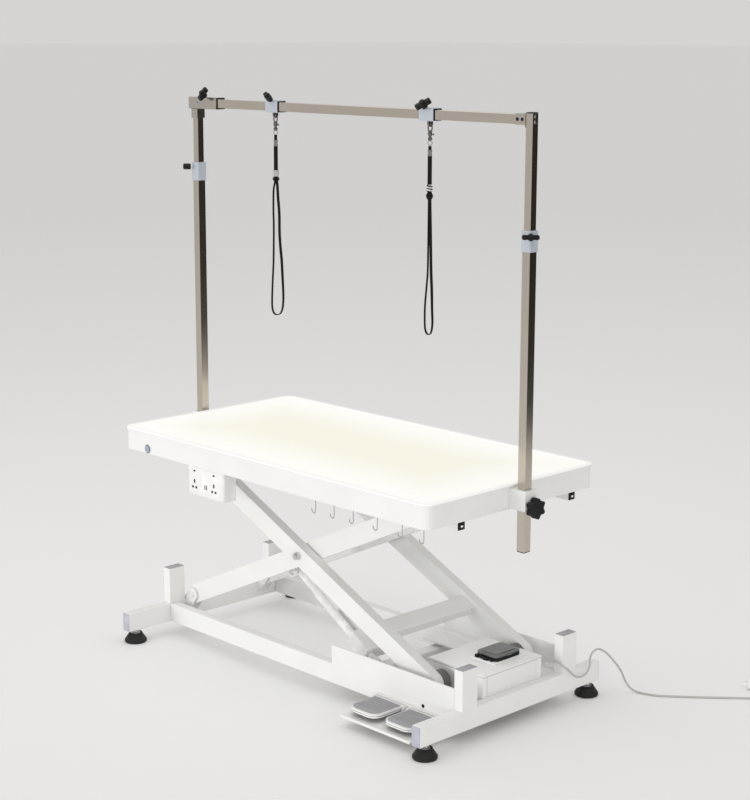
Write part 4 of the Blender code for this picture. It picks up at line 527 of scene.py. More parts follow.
def drawn_through(points, step, floor=None):
    """Points about a step apart on a Catmull-Rom curve; the first and last stretch stay straight."""
    line = [points[0]]
    for before, first, last, after in zip(points, points[1:], points[2:], points[3:]):
        count = max(2, round((last - first).length / step))
        square = 2 * before - 5 * first + 4 * last - after
        cube = 3 * first - before - 3 * last + after
        for k in range(count):
            t = k / count
            line.append(0.5 * (2 * first + (last - before) * t + square * t * t + cube * t ** 3))
    line += points[-2:]
    if floor is not None:
        for point in line:
            point.z = max(point.z, floor)
    return line


def length_of(line):
    """Length of a line of points."""
    return sum((b - a).length for a, b in zip(line, line[1:]))


ONWARD = level(COIL_HEADING)
COIL_SIDE = COIL_HEADING - math.pi / 2
COIL_OUT = COIL_RADIUS + COIL_TURNS * COIL_PITCH / 2
COIL_IN = COIL_OUT - COIL_TURNS * COIL_PITCH
COIL_CENTRE = COIL_START + ONWARD * 2 * CORD_RADIUS - COIL_OUT * level(COIL_SIDE)
COIL_LIFT = 2 * CORD_RADIUS + LAYER_GAP
ROUTE = [EXIT, EXIT + Vector((0, 2 * CORD_RADIUS, 0))]
ROUTE += [Vector(point) for point in ROUND_THE_STUB + CURL]
ROUTE += [Vector((x, y, FLOOR_Z)) for x, y in ON_FLOOR]
ROUTE += [COIL_START - ONWARD * 2 * CORD_RADIUS, COIL_START]


def coil_points(per_turn):
    """Spiral in on the floor, climb in a half turn, spiral out on top and rise to the plug."""
    inward = COIL_TURNS * per_turn
    climb = per_turn // 2
    points = []
    for k in range(2 * inward + climb + 1):
        rise = min(1.0, max(0.0, (k - inward) / climb))
        radius = max(COIL_OUT - COIL_PITCH * k / per_turn, COIL_IN)
        if rise >= 1.0:
            radius = COIL_IN + COIL_PITCH * (k - inward - climb) / per_turn
        radius -= COIL_PITCH * 0.25 * math.sin(math.pi * rise)
        angle = COIL_SIDE + math.tau * k / per_turn
        points.append(COIL_CENTRE + Vector((radius * math.cos(angle), radius * math.sin(angle),
                                            COIL_LIFT * (1 - math.cos(math.pi * rise)) / 2)))
    away = level(COIL_SIDE + math.tau * (2 * inward + climb) / per_turn + math.pi / 2)
    tail = points[-1]
    for k in range(1, TAIL_STEPS + 1):
        rise = (PLUG_RADIUS - tail.z) * (1 - math.cos(math.pi * k / TAIL_STEPS)) / 2
        points.append(tail + away * (TAIL_STEP * k) + Vector((0, 0, rise)))
    points.append(points[-1] + away * 2 * CORD_RADIUS)
    return points


# %% [markdown]
# ## Shapes in mesh code
# The small pieces are turned, swept or rounded blocks, so a few helpers make nearly all of them. Each adds
# to an open bmesh, and `keep` closes it: doubles merged, faces turned outwards, soft shading with crisp
# edges, a body to ride and the material slot that goes with its finish.

# %% Mesh helpers
MERGE_GAP = 0.000005
CRISP_ANGLE = math.radians(38)


def keep(name, form, material, body):
    """Turn a bmesh into a piece that rides on a body."""
    bmesh.ops.remove_doubles(form, verts=form.verts, dist=MERGE_GAP)
    bmesh.ops.recalc_face_normals(form, faces=form.faces)
    mesh = bpy.data.meshes.new(name)
    form.to_mesh(mesh)
    form.free()
    mesh.materials.append(material)
    mesh.shade_smooth()
    mesh.set_sharp_from_angle(angle=CRISP_ANGLE)
    piece = added(name, mesh)
    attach(piece, body)
    return piece


def about(middle, half):
    """Range that reaches equally far to both sides."""
    return (middle - half, middle + half)


def block(form, xs, ys, zs, edge, steps=2):
    """Box with rounded edges between two values on each axis, in any order."""
    low = Vector([min(pair) for pair in (xs, ys, zs)])
    high = Vector([max(pair) for pair in (xs, ys, zs)])
    corners = bmesh.ops.create_cube(form, size=1.0)["verts"]
    for corner in corners:
        corner.co = corner.co * (high - low) + (high + low) / 2
    sides = list(dict.fromkeys(side for corner in corners for side in corner.link_edges))
    bmesh.ops.bevel(form, geom=sides, offset=edge, segments=steps, profile=0.5, affect="EDGES")


def blocks(name, boxes, material, body):
    """Piece made of rounded boxes."""
    form = bmesh.new()
    for box in boxes:
        block(form, *box)
    return keep(name, form, material, body)


def frame_at(origin, axis):
    """Matrix whose Z points along an axis."""
    ahead = Vector(axis).normalized()
    side = Vector(UP)
    if abs(ahead.dot(side)) > 0.95:
        side = Vector((1, 0, 0))
    side = (side - ahead * ahead.dot(side)).normalized()
    turn = Matrix((side, ahead.cross(side), ahead)).transposed().to_4x4()
    return Matrix.Translation(origin) @ turn


def lathe(form, profile, where, steps):
    """Turn a profile of radius and height about the Z of a frame."""
    points = [form.verts.new(where @ Vector((radius, 0, height))) for radius, height in profile]
    lines = [form.edges.new(pair) for pair in zip(points, points[1:])]
    axis = where.to_3x3() @ Vector(UP)
    bmesh.ops.spin(form, geom=points + lines, cent=where.translation, axis=axis, angle=math.tau, steps=steps,
                   use_merge=True)


def turned(name, profile, where, steps, material, body):
    """Piece turned from one profile."""
    form = bmesh.new()
    lathe(form, profile, where, steps)
    return keep(name, form, material, body)


def sweep(form, points, section, across, closed=False):
    """Skin a section along points; across is the section's first axis, one for all or one for each."""
    rings = []
    count = len(points)
    for k, point in enumerate(points):
        first = points[k - 1] if closed or k > 0 else point
        last = points[(k + 1) % count] if closed or k < count - 1 else point
        ahead = (last - first).normalized()
        wide = across[k] if isinstance(across, list) else Vector(across)
        wide = (wide - ahead * ahead.dot(wide)).normalized()
        deep = ahead.cross(wide)
        rings.append([form.verts.new(point + wide * u + deep * v) for u, v in section])
    around = len(section)
    for k in range(count if closed else count - 1):
        here = rings[k]
        there = rings[(k + 1) % count]
        for j in range(around):
            form.faces.new((here[j], here[(j + 1) % around], there[(j + 1) % around], there[j]))
    if not closed:
        form.faces.new(rings[0])
        form.faces.new(rings[-1])


def oval(half_wide, half_deep, steps=12, power=1.0):
    """Section of a wire or, with a power under 1, of a flat strap with round edges."""
    points = []
    for k in range(steps):
        angle = math.tau * (k + 0.5) / steps
        u = math.copysign(abs(math.cos(angle)) ** power, math.cos(angle))
        v = math.copysign(abs(math.sin(angle)) ** power, math.sin(angle))
        points.append((half_wide * u, half_deep * v))
    return points


def round_turn(count):
    """Cosine, sine and angle at equal steps of a full turn."""
    angles = [math.tau * k / count for k in range(count)]
    return [(math.cos(angle), math.sin(angle), angle) for angle in angles]


# %% [markdown]
# The lead's sheath is a tube round its line, made as a curve so that its length stays exact.
# It ends in its plug, leaves the box through a tapered rubber boot, and a small tie holds the coil.

# %% Mains lead, boot and tie
BOOT_RIBS = 7
BOOT_END = 0.0246
boot_profile = [(0.0, 0.0), (0.0080, 0.0)]
for k in range(BOOT_RIBS):
    start = 0.0022 + 0.0032 * k
    reach = 0.0079 - 0.00062 * k
    boot_profile += [(reach, start), (reach, start + 0.0018), (reach - 0.0009, start + 0.0020),
                     (reach - 0.0009, start + 0.0030)]
boot_profile += [(0.0031, BOOT_END), (0.0, BOOT_END)]
turned("cord_boot", boot_profile, frame_at((EXIT.x, 0.1420, EXIT.z), (0, 1, 0)), 20, CORD_SHEATH, "base")

TIE_STEPS = 6
TIE_ROOM = 0.0036
tie_out = level(COIL_SIDE + 2.6)
tie_low = 0.0006
tie_high = FLOOR_Z + COIL_LIFT + CORD_RADIUS + tie_low
corners = [(COIL_IN - TIE_ROOM, tie_low), (COIL_OUT + TIE_ROOM, tie_low), (COIL_OUT + TIE_ROOM, tie_high),
           (COIL_IN - TIE_ROOM, tie_high)]
tie_points = []
for (reach, height), (next_reach, next_height) in zip(corners, corners[1:] + corners[:1]):
    for k in range(TIE_STEPS):
        share = (k + 0.5) / TIE_STEPS
        tie_points.append(COIL_CENTRE * Vector((1, 1, 0)) + tie_out * (reach + (next_reach - reach) * share)
                          + Vector((0, 0, height + (next_height - height) * share)))
tie = bmesh.new()
sweep(tie, tie_points, oval(0.0030, 0.0005, 8, 0.5), (-tie_out.y, tie_out.x, 0), closed=True)
tie_piece = keep("coil_tie", tie, BLACK_PLASTIC, "base")

cord_line = drawn_through(ROUTE, CORD_STEP, FLOOR_Z) + coil_points(32)
cord_length = length_of(cord_line)
sheath = bpy.data.curves.new("mains_lead", "CURVE")
sheath.dimensions = "3D"
sheath.bevel_depth = CORD_RADIUS
sheath.bevel_resolution = 4
sheath.use_fill_caps = True
spline = sheath.splines.new("POLY")
spline.points.add(len(cord_line) - 1)
for knot, point in zip(spline.points, cord_line):
    knot.co = (*point, 1.0)
spline.use_smooth = True
sheath.materials.append(CORD_SHEATH)
mains_lead = added("mains_lead", sheath)
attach(mains_lead, "base")
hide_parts("power_cord", "cord_coil")
print("mains lead", round(cord_length, 3), "m")

# %% [markdown]
# ## End caps
# Cut tube is sharp, so every open end gets a pushed-in plastic cap: lilac grey on the ends of the
# crossbeams, mid grey on the four uprights, black on the table's rails and on the posts. A cap is a rounded
# block that stands a little out of its tube and is a little smaller than it.

# %% Caps
CAP_IN = 0.0010
CAP_DEEP = 0.004
CAP_PROUD = 0.0016
CAP_EDGE = 0.0012
BEAMS = ((-0.612, -0.582), (0.604, 0.634))
BEAM_LOW = 0.038
BEAM_TOP = 0.094
BEAM_END = 0.352
STUB_TOP = 0.202
STUBS = ((-0.198, -0.142), (0.196, 0.252))
RAIL_MIDDLES = {"table_rail_front": -0.188, "table_rail_rear": 0.242}
PLUG_HALF = 0.0121
TOP_CAP_HALF = 0.0108
beam_caps = []
stub_caps = []
for left, right in BEAMS:
    for way in (-1, 1):
        beam_caps.append(((left + CAP_IN, right - CAP_IN),
                          (way * (BEAM_END - CAP_DEEP), way * (BEAM_END + CAP_PROUD)),
                          (BEAM_LOW + CAP_IN, BEAM_TOP - CAP_IN), CAP_EDGE))
        beam_caps.append(((left + 0.0055, right - 0.0055),
                          (way * (BEAM_END + 0.0012), way * (BEAM_END + 0.0022)),
                          (BEAM_LOW + 0.0060, BEAM_TOP - 0.0060), 0.0004))
    for near, far in STUBS:
        stub_caps.append(((left + 0.0015, right - 0.0015), (near + CAP_IN, far - CAP_IN),
                          (STUB_TOP - CAP_DEEP, STUB_TOP + CAP_PROUD), 0.0010))
blocks("beam_end_caps", beam_caps, LILAC_CAP, "base")
blocks("upright_caps", stub_caps, CAP_GREY, "base")

rail_caps = []
rail_tabs = []
for rail, middle in RAIL_MIDDLES.items():
    low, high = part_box(rail)
    for end, way in ((low[0], -1), (high[0], 1)):
        rail_caps.append(((end - way * 0.003, end + way * 0.0018), about(middle, 0.0118), (0.5707, 0.5943),
                          CAP_EDGE))
        rail_tabs.append(((end + way * 0.0014, end + way * 0.0030), about(middle, 0.0040), (0.5780, 0.5830),
                          0.0006))
blocks("table_rail_caps", rail_caps, BLACK_PLASTIC, "table")
blocks("table_rail_tabs", rail_tabs, WHITE_PLASTIC, "table")
for side, hand in (("left", -1), ("right", 1)):
    low_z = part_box("lower_post_" + side)[0][2]
    plug = (about(hand * POST_X, PLUG_HALF), about(0, PLUG_HALF), (low_z - 0.0030, low_z + 0.006), 0.0015)
    blocks("post_plug_" + side, [plug], BLACK_PLASTIC, side + "_post")
top_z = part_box("upper_post_right")[1][2]
top_cap = (about(POST_X, TOP_CAP_HALF), about(0, TOP_CAP_HALF), (top_z - 0.003, top_z + 0.0022), CAP_EDGE)
blocks("upper_post_cap", [top_cap], BLACK_PLASTIC, "arch")
print("caps on", len(BEAMS) * 4 + 4 + 3, "tube ends")

# %% [markdown]
# ## Control box
# The box is folded sheet steel with a lift-off lid and a pressed end. The lid's turned-down lip and the
# end's flange stand half a millimetre proud; that small step and thin grey strips of painted shadow draw
# the seams. On the lid sits a white bezel with the black switch unit, whose cover turns on two knuckles.

# %% Lid, end flange and switch details
BOX_LEFT, BOX_FRONT, BOX_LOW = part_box("control_box")[0]
BOX_RIGHT = 0.6037
BOX_REAR = 0.142
BOX_TOP = 0.155
UNDER_LID = BOX_TOP - 0.0072
SEAM = 0.0005
SHADOW_LINE_PROUD = 0.0003
FLANGE = 0.0150
FLANGE_END = 0.0158
HINGE_Z = 0.1624
box_long = (BOX_LEFT - SEAM, BOX_RIGHT + SEAM)
flange_tall = (BOX_LOW + 0.003, UNDER_LID)
blocks("control_box_covers", [
    (box_long, (BOX_FRONT - SEAM, BOX_REAR + SEAM), (BOX_TOP - 0.0060, BOX_TOP + 0.0002), 0.0010),
    (box_long, (BOX_FRONT - SEAM, BOX_FRONT + FLANGE), flange_tall, 0.0009),
    (box_long, (BOX_REAR - FLANGE, BOX_REAR + SEAM), flange_tall, 0.0009),
    ((BOX_RIGHT - 0.001, BOX_RIGHT + SEAM), (BOX_FRONT + FLANGE_END, BOX_REAR - FLANGE_END),
     (0.0985, UNDER_LID), 0.0005)], WHITE_COAT, "base")
# Grey strips along the seams: painted shadow lines, not parts of the box.
blocks("control_box_seams", [
    ((BOX_RIGHT - 0.002, BOX_RIGHT + SHADOW_LINE_PROUD), (BOX_FRONT + FLANGE, BOX_FRONT + FLANGE_END),
     (BOX_LOW + 0.004, UNDER_LID), 0.0001, 1),
    ((BOX_LEFT - SHADOW_LINE_PROUD, BOX_RIGHT + SHADOW_LINE_PROUD), (BOX_FRONT - SHADOW_LINE_PROUD, BOX_REAR + SHADOW_LINE_PROUD),
     (BOX_TOP - 0.0071, BOX_TOP - 0.0061), 0.0001, 1)], CAP_GREY, "base")

(switch_left, switch_front, _), (switch_right, switch_rear, _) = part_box("switch_unit")
bezel = ((switch_left - 0.007, switch_right + 0.006), (switch_front - 0.013, switch_rear + 0.006),
         (BOX_TOP - 0.001, BOX_TOP + 0.0030), 0.0015)
blocks("switch_bezel", [bezel], WHITE_PLASTIC, "base")
ON_LID = BOX_TOP + 0.002
KNUCKLE = [(0, 0), (0.0024, 0), (0.0029, 0.0005), (0.0029, 0.0155), (0.0024, 0.0160), (0, 0.0160)]
ROD = [(0, 0), (0.0016, 0), (0.0020, 0.0005), (0.0020, 0.0595), (0.0016, 0.0600), (0, 0.0600)]
RELAYS = ((0.004, 0.012, 0.0085, 0.0090), (0.021, 0.007, 0.0060, 0.0115), (0.034, 0.015, 0.0095, 0.0070),
          (0.056, 0.008, 0.0055, 0.0100))
knuckles = bmesh.new()
for middle in (switch_front + 0.022, switch_rear - 0.022):
    lathe(knuckles, KNUCKLE, frame_at((switch_left - 0.0018, middle - 0.008, HINGE_Z), (0, 1, 0)), 16)
    block(knuckles, (switch_left - 0.0050, switch_left + 0.001), about(middle, 0.0070), (ON_LID, HINGE_Z),
          0.0008)
for start, wide, reach, tall in RELAYS:
    block(knuckles, (switch_left + start, switch_left + start + wide),
          (switch_front - reach, switch_front + 0.001), (ON_LID, ON_LID + tall), 0.0009)
lathe(knuckles, ROD, frame_at((switch_left + 0.005, switch_front - 0.0048, BOX_TOP + 0.0086), (1, 0, 0)), 14)
keep("switch_knuckles", knuckles, BLACK_PLASTIC, "base")
lid_low, lid_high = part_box("switch_lid")
latch = ((lid_high[0] - 0.006, lid_high[0] + 0.0030), about((lid_low[1] + lid_high[1]) / 2, 0.010),
         (lid_low[2] - 0.0002, lid_low[2] + 0.0042), 0.0012)
blocks("switch_lid_latch", [latch], DARK_LID, "switch_lid")
print("control box", round(BOX_RIGHT - BOX_LEFT, 3), "m long")

# %% [markdown]
# ## Sockets and light button
# The socket box has two outlets, each with an indicator, an earth slot and two live slots, and a pair of
# charging slots between them. The slots are cut in the solid, behind a thin face plate. Black blocks fill
# them almost flush: painted shade that stands for the dark inside of the slots.

# %% Slot shades and button ring
FRONT = (0, -1, 0)
REAR = (0, 1, 0)
RIGHT = (1, 0, 0)
SOCKET_LEFT = -0.3175
SOCKET_WIDE = 0.1555
SOCKET_TOP = 0.59526
SOCKET_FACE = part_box("socket_box")[0][1]
FACE_PROUD = 0.0008
LAP = 0.0008
OUTLETS = (SOCKET_LEFT + 0.0278, SOCKET_LEFT + 0.1135)
BUTTON_AT = (-0.510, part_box("light_button")[0][1], 0.6087)
BEZEL_AT = (BUTTON_AT[0], -0.3223, BUTTON_AT[2])
RING = [(0.0060, -0.0004), (0.0060, 0.0004), (0.0066, 0.0007), (0.0080, 0.0007), (0.0086, 0.0004),
        (0.0086, -0.0004), (0.0060, -0.0004)]
BEZEL_RING = [(0.0104, 0.0), (0.0104, 0.0016), (0.0112, 0.0022), (0.0128, 0.0018), (0.0136, 0.0006),
              (0.0136, 0.0), (0.0104, 0.0)]
slots = []
for outlet in OUTLETS:
    slots.append((outlet, 0.011, 0.0035, 0.0016))
    slots.append((outlet, 0.041, 0.0022, 0.0045))
    slots += [(x, 0.058, 0.0032, 0.0024) for x in about(outlet, 0.0075)]
slots += [(x, 0.051, 0.0012, 0.0060) for x in about(SOCKET_LEFT + SOCKET_WIDE / 2, 0.0038)]
face_plate = ((SOCKET_LEFT + 0.003, SOCKET_LEFT + 0.1525), (SOCKET_FACE - FACE_PROUD, SOCKET_FACE + 0.0005),
              (SOCKET_TOP - 0.0790, SOCKET_TOP - 0.003), 0.0006)
blocks("socket_face_plate", [face_plate], WHITE_PLASTIC, "table")
# Black blocks almost flush in the slots: painted shade of the holes behind the face.
slot_shade_deep = (SOCKET_FACE - FACE_PROUD - 0.0003, SOCKET_FACE + 0.0050)
slot_shades = [(about(x, half_x + LAP), slot_shade_deep, about(SOCKET_TOP - drop, half_z + LAP), 0.0002, 1)
            for x, drop, half_x, half_z in slots]
blocks("socket_shutters", slot_shades, BLACK_PLASTIC, "table")
turned("button_ring", RING, frame_at(BUTTON_AT, FRONT), 32, RING_BLUE, "light_button")
turned("button_bezel", BEZEL_RING, frame_at(BEZEL_AT, FRONT), 32, CHROME, "table")
print("slots", len(slots))

# %% [markdown]
# ## Bolts by Geometry Nodes
# Bolt heads repeat all over the frame. Each one is only a place, a direction and a size, so a mesh of bare
# points with two attributes is enough: the tree puts a washer and a hexagon head on every point, turns them
# the way the point faces, gives each a random turn of its own from a fixed seed, and makes the copies real.

# %% Bolt tree
BOLT_SEED = 11


def new_tree(name, inputs, output):
    """Geometry Nodes tree with named inputs: the nodes to add to, and the wires of its inputs."""
    tree = bpy.data.node_groups.new(name, "GeometryNodeTree")
    for label, kind in inputs:
        tree.interface.new_socket(name=label, in_out="INPUT", socket_type="NodeSocket" + kind)
    tree.interface.new_socket(name=output, in_out="OUTPUT", socket_type="NodeSocketGeometry")
    grow = Nodes(tree)
    return grow, {socket.name: Wire(grow, socket) for socket in tree.nodes.new("NodeGroupInput").outputs}


def close_tree(grow, shape, finish, output):
    """Make the copies real, give them their material and hand them out."""
    real = grow.node("GeometryNodeRealizeInstances", inputs={"Geometry": shape})
    done = grow.node("GeometryNodeSetMaterial", inputs={"Geometry": real, "Material": finish})
    grow.tree.links.new(done.socket, grow.tree.nodes.new("NodeGroupOutput").inputs[output])
    return grow.tree


def bolt_tree():
    """Geometry Nodes tree that grows a bolt head on every point."""
    grow, given = new_tree("bolt_heads", (("Points", "Geometry"), ("Head height", "Float"),
                                          ("Washer reach", "Float"), ("Seed", "Int"), ("Finish", "Material")),
                           "Bolts")

    def cone(vertices, top, bottom, depth):
        return grow.node("GeometryNodeMeshCone", inputs={"Vertices": vertices, "Radius Top": top,
                                                         "Radius Bottom": bottom, "Depth": depth})

    head = cone(6, 0.90, 1.0, given["Head height"])
    crown = cone(18, 0.55, 0.80, given["Head height"] * 1.12)
    washer = cone(24, given["Washer reach"] * 0.96, given["Washer reach"], 0.16)
    bolt = grow.node("GeometryNodeJoinGeometry", inputs={0: [head, crown, washer]})
    attribute = "GeometryNodeInputNamedAttribute"
    facing = grow.node(attribute, {"data_type": "FLOAT_VECTOR"}, {"Name": "facing"})
    size = grow.node(attribute, {"data_type": "FLOAT"}, {"Name": "size"})
    aim = grow.node("FunctionNodeAlignRotationToVector", {"axis": "Z"}, {"Vector": facing})
    chance = grow.node("FunctionNodeRandomValue", {"data_type": "FLOAT"},
                       {2: 0.0, 3: math.tau, 8: given["Seed"]}, 1)
    spin = grow.node("FunctionNodeAxisAngleToRotation", inputs={"Axis": UP, "Angle": chance})
    way = grow.node("FunctionNodeRotateRotation", {"rotation_space": "LOCAL"},
                    {"Rotation": aim, "Rotate By": spin})
    placed = grow.node("GeometryNodeInstanceOnPoints", inputs={"Points": given["Points"], "Instance": bolt,
                                                               "Rotation": way, "Scale": size})
    return close_tree(grow, placed, given["Finish"], "Bolts")


def grown(name, mesh, tree, values, body):
    """Run a tree once on a mesh and keep what it made as a plain piece that rides on a body."""
    piece = added(name, mesh)
    recipe = piece.modifiers.new("grow", "NODES")
    recipe.node_group = tree
    for socket in tree.interface.items_tree:
        if socket.in_out == "INPUT" and socket.name in values:
            recipe[socket.identifier] = values[socket.name]
    ready = piece.evaluated_get(bpy.context.evaluated_depsgraph_get())
    result = bpy.data.meshes.new_from_object(ready)
    piece.modifiers.remove(recipe)
    piece.data = result
    result.shade_smooth()
    result.set_sharp_from_angle(angle=math.radians(30))
    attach(piece, body)
    return piece


BOLT_TREE = bolt_tree()


def bolts(name, spots, body, material=ZINC, head=0.62, washer=1.42):
    """Bolt heads at spots of place, facing and size."""
    mesh = bpy.data.meshes.new(name + "_spots")
    mesh.from_pydata([place for place, _, _ in spots], [], [])
    mesh.attributes.new("facing", "FLOAT_VECTOR", "POINT")
    mesh.attributes.new("size", "FLOAT", "POINT")
    for k, (_, way, reach) in enumerate(spots):
        mesh.attributes["facing"].data[k].vector = way
        mesh.attributes["size"].data[k].value = reach
    values = {"Head height": head, "Washer reach": washer, "Seed": BOLT_SEED, "Finish": material}
    made = grown(name, mesh, BOLT_TREE, values, body)
    print(name, len(spots), "heads,", len(made.data.polygons), "faces")


def front_and_rear(x, middle, half, z, size):
    """Spots on the front and the rear of something."""
    return [((x, middle - half, z), FRONT, size), ((x, middle + half, z), REAR, size)]


# %% [markdown]
# Their places follow the solids: the two centre bolts of the scissor, its pivots, a blind plug in each base
# rail, the pedal plate's screws, the box's end screws, and a nut and a rubber cup on each foot.

# %% Bolts of the lift and the base
SMALL_BOLT = 0.0034
BOX_BOLT_Z = 0.1390
BOX_BOLT_OUT = 0.0004
CUP = [(0.0165, 0.0225), (0.0165, 0.0272), (0.0172, 0.0292), (0.0188, 0.0296), (0.0200, 0.0286),
       (0.0202, 0.0268), (0.0194, 0.0250), (0.0225, 0.0225), (0.0165, 0.0225)]
bolts("scissor_bolts", front_and_rear(-0.035, LIFT_MIDDLE, 0.2009, 0.357, 0.0078), "outer_arms", head=0.5)
base_spots = front_and_rear(-0.550, LIFT_MIDDLE, 0.1688, 0.117, 0.0056)
base_spots += [((0.4475, y, 0.0339), UP, SMALL_BOLT) for y in (-0.2300, -0.3080)]
base_spots += [((BOX_LEFT - BOX_BOLT_OUT, y, BOX_BOLT_Z), (-1, 0, 0), SMALL_BOLT) for y in (-0.0805, 0.1345)]
base_spots += [((x, BOX_REAR + BOX_BOLT_OUT, BOX_BOLT_Z), REAR, SMALL_BOLT) for x in (0.5200, 0.4300)]
bolts("base_bolts", base_spots, "base", WHITE_COAT)
plug_spots = front_and_rear(0.493, LIFT_MIDDLE, 0.2249, 0.0706, 0.0050)
bolts("rail_plugs", plug_spots, "base", BLACK_PLASTIC, 0.35, 1.05)
for end in ("front", "rear"):
    for side in ("left", "right"):
        foot = "foot_%s_%s" % (end, side)
        low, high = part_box(foot)
        x, y, _ = (low + high) / 2
        bolts(foot + "_nut", [((x, y, NUT_Z), UP, 0.0125)], foot, ZINC, 0.74, 1.15)
        turned(foot + "_cup", CUP, Matrix.Translation((x, y, 0)), 28, FOOT_RUBBER, foot)

# %% [markdown]
# ## Fittings of the arch
# On the right, the crossbar ends in a short pressed bracket that is bolted to the post. On the left, the
# bar runs into a corner sleeve, which closes on the bar with a black liner and one screw. Each lasso clamp
# has a thin black frame round the bar at its right end.

# %% Bracket, liner, dark frames and arch bolts
BRACKET_HALF = 0.0142
LINER_HALF = 0.0150
DARK_FRAME_OUT = 0.0154
blocks("bar_bracket", [
    ((0.6120, 0.6448), about(0, BRACKET_HALF), about(BAR_Z, BRACKET_HALF), 0.0012),
    ((0.6436, 0.6452), about(0, 0.0125), (BAR_Z - 0.0200, BAR_Z + 0.0145), 0.0006)], STEEL_FITTING, "arch")
blocks("sleeve_liner", [
    ((-0.5540, -0.5502), about(0, LINER_HALF), about(BAR_Z, LINER_HALF), 0.0008),
    ((-0.6800, -0.6760), about(0, LINER_HALF), about(BAR_Z, LINER_HALF), 0.0014),
    ((-0.6708, -0.6412), about(0, 0.0146), (1.5696, 1.5712), 0.0004)], BLACK_PLASTIC, "arch")
# Thin black frame round the bar at each lasso clamp's right end.
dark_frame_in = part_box("crossbar")[1][1] + 0.0004
for number in ("1", "2"):
    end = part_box("lasso_clamp_" + number)[1][0]
    thick = (end - 0.002, end + 0.0012)
    dark_frame = []
    for way in (-1, 1):
        dark_frame.append((thick, (way * dark_frame_in, way * DARK_FRAME_OUT), about(BAR_Z, DARK_FRAME_OUT), 0.0003, 1))
        dark_frame.append((thick, about(0, dark_frame_in), (BAR_Z + way * dark_frame_in, BAR_Z + way * DARK_FRAME_OUT),
                       0.0003, 1))
    blocks("clamp_gasket_" + number, dark_frame, BLACK_PLASTIC, "lasso_" + number)
bracket_spots = [((x, way[1] * 0.0141, BAR_Z), way, 0.0036)
                 for way in (FRONT, REAR) for x in (0.6200, 0.6360)]
bolts("bracket_bolts", bracket_spots, "arch", BLACK_PLASTIC, 0.5, 1.3)
arch_spots = [((0.6669, 0, BAR_Z + rise), RIGHT, 0.0038) for rise in (0.0068, -0.0068)]
bolts("arch_bolts", arch_spots + front_and_rear(-0.6400, 0, 0.0167, BAR_Z, 0.0036), "arch", CHROME)

# %% [markdown]
# ## Snaps
# Each lead hangs from a trigger snap: a wire hook through the clamp's eye, a dark plated body with a thumb
# pin, and below it a swivel. The hook is a wire swept round a tall oval, the body is turned.

# %% Snap hooks
HOOK_Z = 1.5535
SNAP_BODY = [(0, 1.5470), (0.0040, 1.5470), (0.0054, 1.5452), (0.0058, 1.5410), (0.0058, 1.5340),
             (0.0040, 1.5312), (0.0040, 1.5284), (0.0060, 1.5268), (0.0060, 1.5228), (0.0050, 1.5212),
             (0, 1.5212)]
THUMB_PIN = [(0, 0), (0.0013, 0), (0.0013, 0.0080), (0.0022, 0.0086), (0.0024, 0.0100), (0.0018, 0.0112),
             (0, 0.0114)]
for number, x in zip("12", LASSO_X):
    hook = bmesh.new()
    hook_line = [Vector((x + 0.0072 * c, 0, HOOK_Z + 0.0112 * s)) for c, s, _ in round_turn(28)]
    sweep(hook, hook_line, oval(0.0019, 0.0019, 10), (0, 1, 0), closed=True)
    keep("snap_hook_" + number, hook, BRONZE_CHROME, "snap_" + number)
    body = bmesh.new()
    lathe(body, SNAP_BODY, frame_at((x, 0, 0), UP), 20)
    lathe(body, THUMB_PIN, frame_at((x + 0.0030, 0, 1.5366), RIGHT), 14)
    body_piece = keep("snap_body_" + number, body, BRONZE_CHROME, "snap_" + number)
    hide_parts("snap_" + number)
print("snaps", len(LASSO_X))

# %% [markdown]
# ## Leads
# A lead is a flat black strap. Below the swivel eye it is folded into a tab, crimped in a grey ferrule and
# doubled to a thick stem; a slider or a spiral keeper and a knot follow, and then the loop for the animal's
# neck. The two strands of the loop hang unevenly and twist, so their offsets are written point by point
# from the top of the left strand round to the top of the right one, in millimetres across, with the height
# beside each.

# %% Straps and stems
ACROSS = level(CAMERA_YAW)
AWAY = Vector((-math.sin(CAMERA_YAW), math.cos(CAMERA_YAW), 0))
LEAD_STEP = 0.007
STRAP_WIDE = 0.008
LOOPS = (((-1.2, 1.3860), (-4.0, 1.3700), (-7.2, 1.3500), (-8.2, 1.2990), (-7.5, 1.2470), (-8.2, 1.1920),
          (-9.4, 1.1400), (-12.2, 1.0860), (-14.2, 1.0340), (-13.2, 1.0080), (-7.5, 0.9945), (1.5, 0.9915),
          (10.5, 0.9960), (16.0, 1.0110), (18.2, 1.0340), (18.2, 1.0590), (16.0, 1.1130), (14.2, 1.1520),
          (10.8, 1.1920), (8.8, 1.2320), (8.8, 1.2730), (7.7, 1.2990), (5.7, 1.3260), (3.7, 1.3640),
          (1.2, 1.3860)),
         ((-1.0, 1.3790), (-1.6, 1.3600), (-1.8, 1.3390), (-2.3, 1.2330), (-3.1, 1.1750), (-6.2, 1.1300),
          (-9.2, 1.0900), (-9.9, 1.0510), (-8.6, 1.0250), (-4.4, 1.0125), (1.2, 1.0095), (6.6, 1.0130),
          (9.6, 1.0260), (10.7, 1.0430), (9.4, 1.0780), (8.1, 1.1300), (6.0, 1.1750), (4.7, 1.2330),
          (3.4, 1.2900), (2.1, 1.3390), (1.6, 1.3600), (1.0, 1.3790)))
STEMS = (((1.5080, 1.4935), (1.4935, 1.4760), (1.4760, 1.4085)),
         ((1.5060, 1.4960), (1.4960, 1.4800), (1.4800, 1.4060)))
EYES = (1.5145, 1.5140)
KNOTS = ((1.3910, 1.3760), (1.3870, 1.3660))
